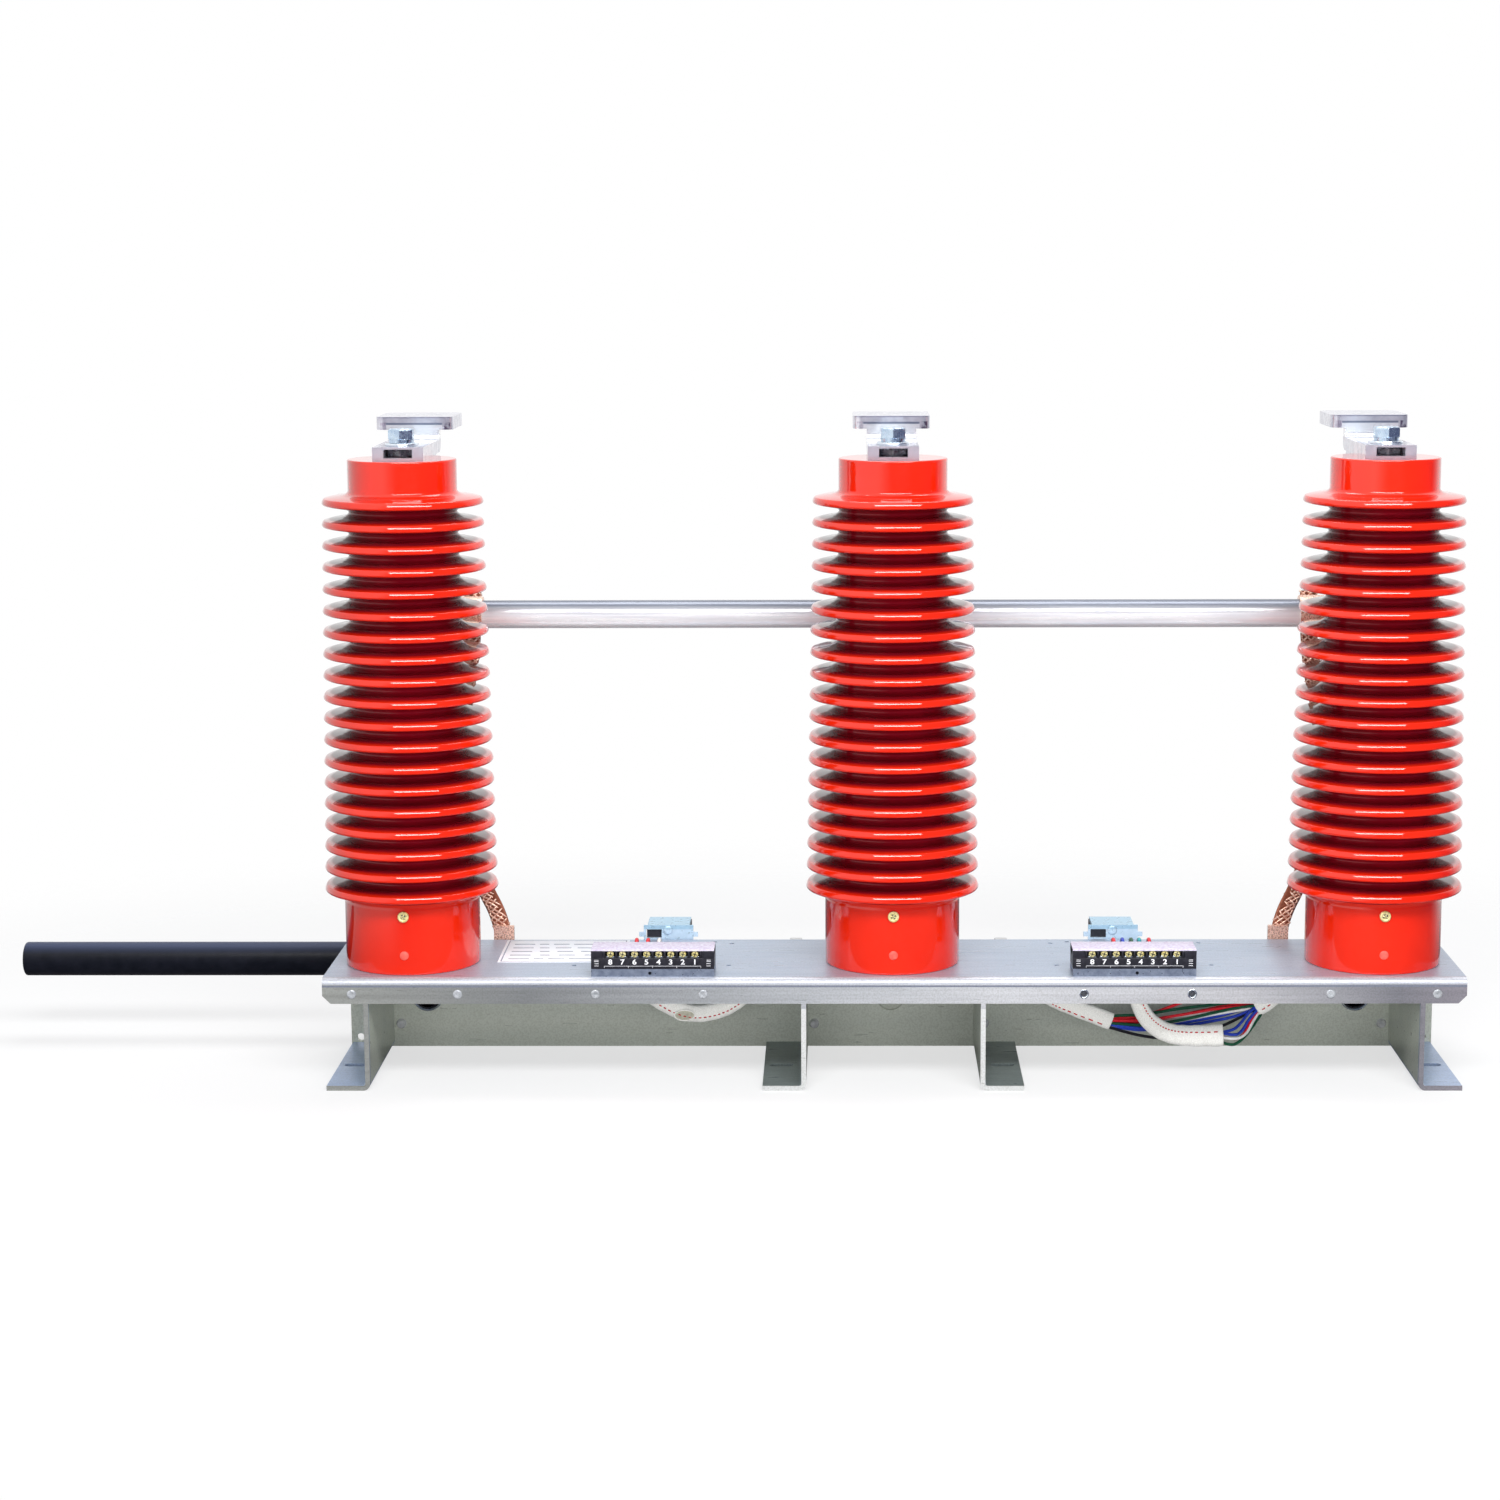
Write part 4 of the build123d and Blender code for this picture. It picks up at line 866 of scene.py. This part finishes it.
label_parts = [block("paper", (LABEL_LEFT, LABEL_FRONT, PLATE_TOP),
                     (LABEL_RIGHT, LABEL_BACK, PLATE_TOP + 0.2), PAPER, 0.05, 1)]
for y in (LABEL_FRONT + 2.0, LABEL_BACK - 2.0):
    label_parts.append(rule(LABEL_LEFT + 2, y - 0.35, LABEL_RIGHT - 2, y + 0.35))
for x in (LABEL_LEFT + 2.0, LABEL_RIGHT - 2.0):
    label_parts.append(rule(x - 0.35, LABEL_FRONT + 2, x + 0.35, LABEL_BACK - 2))
for k in range(5):
    y = LABEL_FRONT + 8 + k * 10.0
    start = LABEL_LEFT + 6
    for length in (16, 9, 13, 21):
        label_parts.append(rule(start, y, start + length - 3, y + 1.6))
        start += length + (k * 3) % 4
label = joined("blank_label", label_parts)
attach(label, "frame")


# ---------------------------------------------------------------- copper braids
def braid(side):
    """Strands that cross over and under each other along the strap's route."""
    route = [
        (side * LUG_X, 64.5, 59.0), (side * LUG_X, 64.5, 79.0), (side * (LUG_X + 18), 80.0, 107.0),
        (side * BOW_X, 108.0, 150.0), (side * BOW_X, 108.0, 200.0),
        (side * CLAMP_X, 97.5, 252.0), (side * CLAMP_X, 97.5, 292.0),
    ]
    line = [Vector(p) for p in smooth_route(route, 16)]
    lengths = [0.0]
    for a, b in zip(line, line[1:]):
        lengths.append(lengths[-1] + (b - a).length)
    total = lengths[-1]

    def at(distance):
        distance = min(max(distance, 0.0), total - 1e-6)
        k = max(i for i, d in enumerate(lengths[:-1]) if d <= distance)
        share = (distance - lengths[k]) / (lengths[k + 1] - lengths[k])
        ahead = (line[k + 1] - line[k]).normalized()
        return line[k].lerp(line[k + 1], share), ahead

    strands, per_turn, thick, steps = 5, 19.0, 1.35, 120
    # The core in dark copper is painted shade between the strands.
    parts = [tube_mesh("core", line, BRAID_WIDTH / 2 - 1.0, COPPER_PAINTED_SHADE, 16, 0.12)]
    half = BRAID_WIDTH / 2 - 0.7
    across = Vector((1, 0, 0))
    for direction in (1, -1):
        for s in range(strands):
            path = []
            for i in range(steps + 1):
                d = total * i / steps
                here, ahead = at(d)
                normal = across.cross(ahead).normalized()
                phase = (direction * d / per_turn + s / strands) % 1.0
                wide = 4 * phase - 1 if phase < 0.5 else 3 - 4 * phase
                depth = math.sin(TAU * phase)
                weave = 0.42 * math.sin(TAU * (d / per_turn * strands / 2 + direction * 0.25))
                path.append(here + across * (wide * half) + normal * (depth * 0.75 + weave))
            parts.append(tube_mesh("strand", path, thick / 2, COPPER, 5))
    return parts


for name, side in (("left", -1), ("right", 1)):
    strap = joined(f"braid_{name}_woven", braid(side))
    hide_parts(f"braid_{name}")
    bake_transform(strap)


# ---------------------------------------------------------------- wiring under the plate
SLEEVE_WIDE, SLEEVE_DEEP, SLEEVE_SIDES = 5.6, 3.4, 28


def sleeve(name, points, y, dash_turn, mouth=False, swell=0.0):
    """A flattened woven sleeve with a dashed red line. dash_turn says where the line lies on it."""
    line = smooth_route([(x, y, z) for x, z in points], 24)
    count = len(line)

    def woven(i, s):
        share = i / count
        crease = 1.0 + 0.05 * math.sin(i * 0.55 + 1.3) * math.sin(s * TAU / SLEEVE_SIDES * 2)
        threads = 0.985 + 0.015 * math.sin(i * 2.2) * math.sin(s * 2.7)
        return (1.0 + swell * (share - 0.4)) * crease * threads

    flat = SLEEVE_DEEP / SLEEVE_WIDE
    parts = [tube_mesh("sleeve", line, SLEEVE_WIDE, SLEEVE, SLEEVE_SIDES, flat, woven)]
    across = Vector((0, 1, 0))
    for i in range(2, count - 3, 4):
        dash = []
        for k in range(i, i + 3):
            here = Vector(line[min(k, count - 1)])
            ahead = (Vector(line[min(k + 1, count - 1)]) - Vector(line[k - 1])).normalized()
            outward = across * (-SLEEVE_DEEP * math.sqrt(1 - dash_turn ** 2))
            sideways = ahead.cross(across) * (SLEEVE_WIDE * dash_turn)
            dash.append(here + (outward + sideways) * (1.0 + swell * (k / count - 0.4)))
        parts.append(tube_mesh("dash", dash, 0.42, DASH, 6))
    # The mouth is a short plug in painted shade, for the shade inside the opening.
    if mouth:
        last, before = Vector(line[-1]), Vector(line[-2])
        ahead = (last - before).normalized()
        size = (1.0 + swell * 0.6) * SLEEVE_WIDE
        ends = [last - ahead * 0.4, last + ahead * 0.15]
        parts.append(tube_mesh("mouth", ends, size * 0.86, SLEEVE_PAINTED_SHADE, SLEEVE_SIDES, flat))
    return joined(name, parts)


HARNESS_Y, FRONT_SLEEVE_Y = 4.0, -14.0
LEFT_LOOP = [(-160, PLATE_UNDER), (-160, 57), (-149, 45), (-128, 34), (-107, 37), (-92, 47),
             (-84, 57), (-84, PLATE_UNDER)]
FIRST = [(86, PLATE_UNDER), (86, 57), (97, 47), (112, 40), (138, 30)]
FRONT = [(151, PLATE_UNDER), (151, 51), (158, 36), (170, 27), (188, 25), (206, 26)]
LAST = [(250, PLATE_UNDER), (250, 50), (229, 38.4)]
sleeves = [
    sleeve("sleeve_left", LEFT_LOOP, HARNESS_Y, -0.35, swell=-0.3),
    sleeve("sleeve_right_1", FIRST, HARNESS_Y, -0.55, True),
    sleeve("sleeve_right_2", FRONT, FRONT_SLEEVE_Y, 0.45, True, 0.5),
    sleeve("sleeve_right_3", LAST, HARNESS_Y, 0.3, True),
]
# The fold that opens in the left loop: a rim round a hollow, a flat disc in painted shade
FOLD_X, FOLD_Z, FOLD_WIDE, FOLD_HIGH = -130.5, 35.0, 6.4, 3.4
FOLD_STEPS, FOLD_Y = 48, HARNESS_Y - SLEEVE_DEEP
rim = []
for k in range(FOLD_STEPS + 1):
    a = TAU * k / FOLD_STEPS
    rim.append((FOLD_X + FOLD_WIDE * math.cos(a), FOLD_Y - 0.1, FOLD_Z + FOLD_HIGH * math.sin(a)))
hollow_verts = [(FOLD_X, FOLD_Y + 0.1, FOLD_Z)] + rim[:-1]
hollow_faces = [(0, 1 + (k + 1) % FOLD_STEPS, 1 + k) for k in range(FOLD_STEPS)]
hollow = mesh_object("hollow", hollow_verts, hollow_faces, SLEEVE_PAINTED_SHADE)
sleeves[0] = joined("sleeve_left", [sleeves[0], tube_mesh("rim", rim, 0.5, SLEEVE, 8), hollow])
for piece in sleeves:
    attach(piece, "frame")
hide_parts("harness_sleeves")

# Wires that fan out from the first sleeve's mouth to the last one's: colour, y, and places (x, z)
FAN = [
    ("dark_green", 5.0, [(136, 33), (146, 34), (156, 33.5), (168, 36), (184, 38.5), (202, 40.5), (222, 43)]),
    ("red", 6.0, [(136, 31.5), (146, 31.5), (158, 32.5), (174, 38.5), (188, 44), (200, 50)]),
    ("red", 3.0, [(136, 30.8), (147, 30.8), (160, 31), (184, 34.8), (202, 38.3), (214, 39.5), (230, 41)]),
    ("dark_green", 2.0, [(137, 29.5), (148, 28.6), (158, 28), (170, 29.5), (184, 31.8),
                         (201, 35.8), (216, 39.5), (230, 41)]),
    ("blue", 2.4, [(137, 28.5), (148, 26.8), (160, 25.8), (172, 26.8), (190, 28.4), (203, 31),
                   (214, 33), (224, 37), (231, 40)]),
    ("blue", 4.4, [(137, 27.5), (150, 24.3), (165, 24.6), (185, 29.4), (205, 33), (218, 37), (230, 40)]),
    ("black", 3.2, [(136.5, 26.6), (150, 22.3), (166, 19.4), (182, 19.5), (200, 24), (214, 30),
                    (226, 37), (231, 39)]),
    ("white", 5.6, [(136, 30), (150, 30), (168, 31.5), (190, 34.4), (210, 37.4), (230, 40)]),
    ("white", 3.8, [(137, 28), (150, 26), (170, 28.4), (192, 32.6), (212, 36.4), (230, 39)]),
    ("red", 6.4, [(137, 29), (152, 28.4), (172, 31), (196, 36.6), (214, 40.4), (230, 42)]),
]
# Wires from the front sleeve's mouth up to the last sleeve: colour, and places (x, y, z)
FRONT_WIRES = [
    ("blue", [(203, -14, 28), (213, -13, 25), (219, -8, 26.5), (224, -2, 34), (231, 3, 39)]),
    ("red", [(203, -13, 25.5), (214, -12, 21.5), (221, -7, 25), (225, -1, 33), (231, 4, 38)]),
    ("white", [(203, -14, 25), (213, -13, 22.5), (221, -8, 24), (226, -2, 31), (231, 4, 37)]),
    ("dark_green", [(203, -14, 22.5), (211, -13, 18.4), (218, -9, 20.5), (226, -3, 28), (232, 3, 35)]),
    ("blue", [(203, -12, 27), (212, -11, 27.5), (218, -6, 31), (224, 0, 37), (230, 4, 41)]),
]
WIRE_R = 0.95
routes = [(colour, [(x, y, z) for x, z in places]) for colour, y, places in FAN] + FRONT_WIRES
wires = joined("harness_wires_fan", [
    tube_mesh("wire", smooth_route(places, 12), WIRE_R, WIRE[colour], 10) for colour, places in routes
])
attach(wires, "frame")
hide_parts("harness_wires")

# Short wires behind the terminal blocks
REAR = BLOCK_FRONT + BLOCK_DEPTH
ARCH_R = 1.2
ARCH_WIRES = [(-159.0, "red"), (-152.0, "red"), (-145.0, "white"), (137.0, "red"), (142.5, "blue"),
              (148.0, "dark_green"), (153.0, "teal"), (159.0, "red")]
arch_parts = []
for x, colour in ARCH_WIRES:
    arch = [(x, REAR - 0.5, BLOCK_FOOT + 9), (x, REAR + 3, BLOCK_FOOT + 9.1),
            (x, REAR + 5.5, BLOCK_FOOT + 11.6), (x, REAR + 10.5, BLOCK_FOOT + 11.4),
            (x, REAR + 15, BLOCK_FOOT + 7), (x, REAR + 15, PLATE_TOP)]
    arch_parts.append(tube_mesh("wire", smooth_route(arch, 12), ARCH_R, WIRE[colour], 12))
arches = joined("terminal_wires_arched", arch_parts)
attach(arches, "frame")
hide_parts("terminal_wires")


# ---------------------------------------------------------------- floor, light and camera
FLOOR_NEAR, FLOOR_FAR, FLOOR_SQUEEZE = 0.42, 0.78, (0.75, 1.0, 1.0)
FLOOR_GLOW = 0.65


def coloured(tree, kind, colour):
    """A plain shader of one colour."""
    made = tree.nodes.new(kind)
    made.inputs["Color"].default_value = (*colour, 1)
    return made


def mixed(tree, share, first, second):
    """Two shaders mixed by a number or by another node's output."""
    made = tree.nodes.new("ShaderNodeMixShader")
    feed(tree, made.inputs["Fac"], share)
    tree.links.new(first.outputs[0], made.inputs[1])
    tree.links.new(second.outputs[0], made.inputs[2])
    return made


def stage_material():
    """Pale floor that fades away some distance from the object, so the white behind shows."""
    material = bpy.data.materials.new("studio_floor")
    material.use_nodes = True
    tree = material.node_tree
    tree.nodes.remove(tree.nodes["Principled BSDF"])
    lit = coloured(tree, "ShaderNodeBsdfDiffuse", (0.95, 0.95, 0.955))
    glow = coloured(tree, "ShaderNodeEmission", (1, 1, 1))
    dim = coloured(tree, "ShaderNodeBsdfDiffuse", (0.42, 0.42, 0.43))
    mirrored = coloured(tree, "ShaderNodeBsdfDiffuse", (0.14, 0.14, 0.16))
    clear = tree.nodes.new("ShaderNodeBsdfTransparent")
    rays = tree.nodes.new("ShaderNodeLightPath").outputs
    seen = mixed(tree, FLOOR_GLOW, lit, glow)
    others = mixed(tree, rays["Is Glossy Ray"], dim, mirrored)
    surface = mixed(tree, rays["Is Camera Ray"], others, seen)
    coords = tree.nodes.new("ShaderNodeTexCoord")
    squeeze = tree.nodes.new("ShaderNodeMapping")
    squeeze.inputs["Scale"].default_value = FLOOR_SQUEEZE
    distance = tree.nodes.new("ShaderNodeVectorMath")
    distance.operation = "LENGTH"
    fade = tree.nodes.new("ShaderNodeMapRange")
    fade.interpolation_type = "SMOOTHSTEP"
    fade.inputs["From Min"].default_value = FLOOR_NEAR
    fade.inputs["From Max"].default_value = FLOOR_FAR
    tree.links.new(coords.outputs["Object"], squeeze.inputs["Vector"])
    tree.links.new(squeeze.outputs["Vector"], distance.inputs[0])
    tree.links.new(distance.outputs["Value"], fade.inputs["Value"])
    faded = mixed(tree, fade.outputs["Result"], surface, clear)
    tree.links.new(faded.outputs[0], tree.nodes["Material Output"].inputs["Surface"])
    return material


floor_mesh = bpy.data.meshes.new("floor")
floor_mesh.from_pydata([(-6, -4, 0), (6, -4, 0), (6, 6, 0), (-6, 6, 0)], [], [(0, 1, 2, 3)])
floor = bpy.data.objects.new("floor", floor_mesh)
floor_mesh.materials.append(stage_material())
bpy.context.scene.collection.objects.link(floor)

world = bpy.data.worlds.new("studio")
bpy.context.scene.world = world
world.use_nodes = True
tree = world.node_tree
tree.nodes.clear()


soft = coloured(tree, "ShaderNodeBackground", (0.92, 0.95, 1.0))
soft.inputs["Strength"].default_value = 0.30
white = coloured(tree, "ShaderNodeBackground", (1, 1, 1))
mirrored = coloured(tree, "ShaderNodeBackground", (1, 1, 1))
# What shiny parts mirror: white around, dark to the right front
DARK_SIDE = (0.75, -0.65, 0.0)
direction = tree.nodes.new("ShaderNodeTexCoord")
facing = tree.nodes.new("ShaderNodeVectorMath")
facing.operation = "DOT_PRODUCT"
facing.inputs[1].default_value = DARK_SIDE
shade = tree.nodes.new("ShaderNodeValToRGB")
bright, dark = shade.color_ramp.elements
bright.position, bright.color = 0.15, (1, 1, 1, 1)
dark.position, dark.color = 0.58, (0.05, 0.06, 0.14, 1)
tree.links.new(direction.outputs["Generated"], facing.inputs[0])
tree.links.new(facing.outputs["Value"], shade.inputs["Fac"])
tree.links.new(shade.outputs["Color"], mirrored.inputs["Color"])
rays = tree.nodes.new("ShaderNodeLightPath").outputs
surroundings = mixed(tree, rays["Is Camera Ray"],
                     mixed(tree, rays["Is Glossy Ray"], soft, mirrored), white)
world_output = tree.nodes.new("ShaderNodeOutputWorld")
tree.links.new(surroundings.outputs[0], world_output.inputs["Surface"])


def softbox(name, place, target, width, height, power, mirrored=True):
    """A soft lamp that looks at a target. mirrored says whether shiny parts show it."""
    lamp = bpy.data.lights.new(name, "AREA")
    lamp.shape = "RECTANGLE"
    lamp.size, lamp.size_y, lamp.energy = width, height, power
    holder = bpy.data.objects.new(name, lamp)
    holder.location = place
    holder.rotation_euler = (Vector(target) - Vector(place)).to_track_quat("-Z", "Y").to_euler()
    holder.visible_glossy = mirrored
    bpy.context.scene.collection.objects.link(holder)


softbox("key", (0.165, -1.1, 1.12), (0.1, 0.0, 0.3), 1.57, 0.32, 23.0)
softbox("top", (0.1, 0.5, 1.7), (0.0, 0.0, 0.2), 1.4, 0.6, 14.0)
softbox("low_fill", (0.1, -1.5, 0.24), (0.0, 0.0, 0.05), 1.8, 0.4, 15.0, mirrored=False)

CAMERA_PLACE = (-0.0323, -1.8633, 0.5153)
YAW, PITCH, ROLL = -0.0101, 0.1654, 0.0029
LENS, SHIFT_X = 73.16, -0.04
ahead = Vector((math.sin(YAW) * math.cos(PITCH), math.cos(YAW) * math.cos(PITCH), -math.sin(PITCH)))
right = Vector((math.cos(YAW), -math.sin(YAW), 0))
up = right.cross(ahead)
right, up = (right * math.cos(ROLL) - up * math.sin(ROLL),
             up * math.cos(ROLL) + right * math.sin(ROLL))
camera_data = bpy.data.cameras.new("camera")
camera_data.lens, camera_data.shift_x = LENS, SHIFT_X
camera = bpy.data.objects.new("camera", camera_data)
camera.matrix_world = Matrix((
    (right.x, up.x, -ahead.x, CAMERA_PLACE[0]),
    (right.y, up.y, -ahead.y, CAMERA_PLACE[1]),
    (right.z, up.z, -ahead.z, CAMERA_PLACE[2]),
    (0, 0, 0, 1),
))
bpy.context.scene.collection.objects.link(camera)
bpy.context.scene.camera = camera
bpy.context.scene.view_settings.view_transform = "Standard"
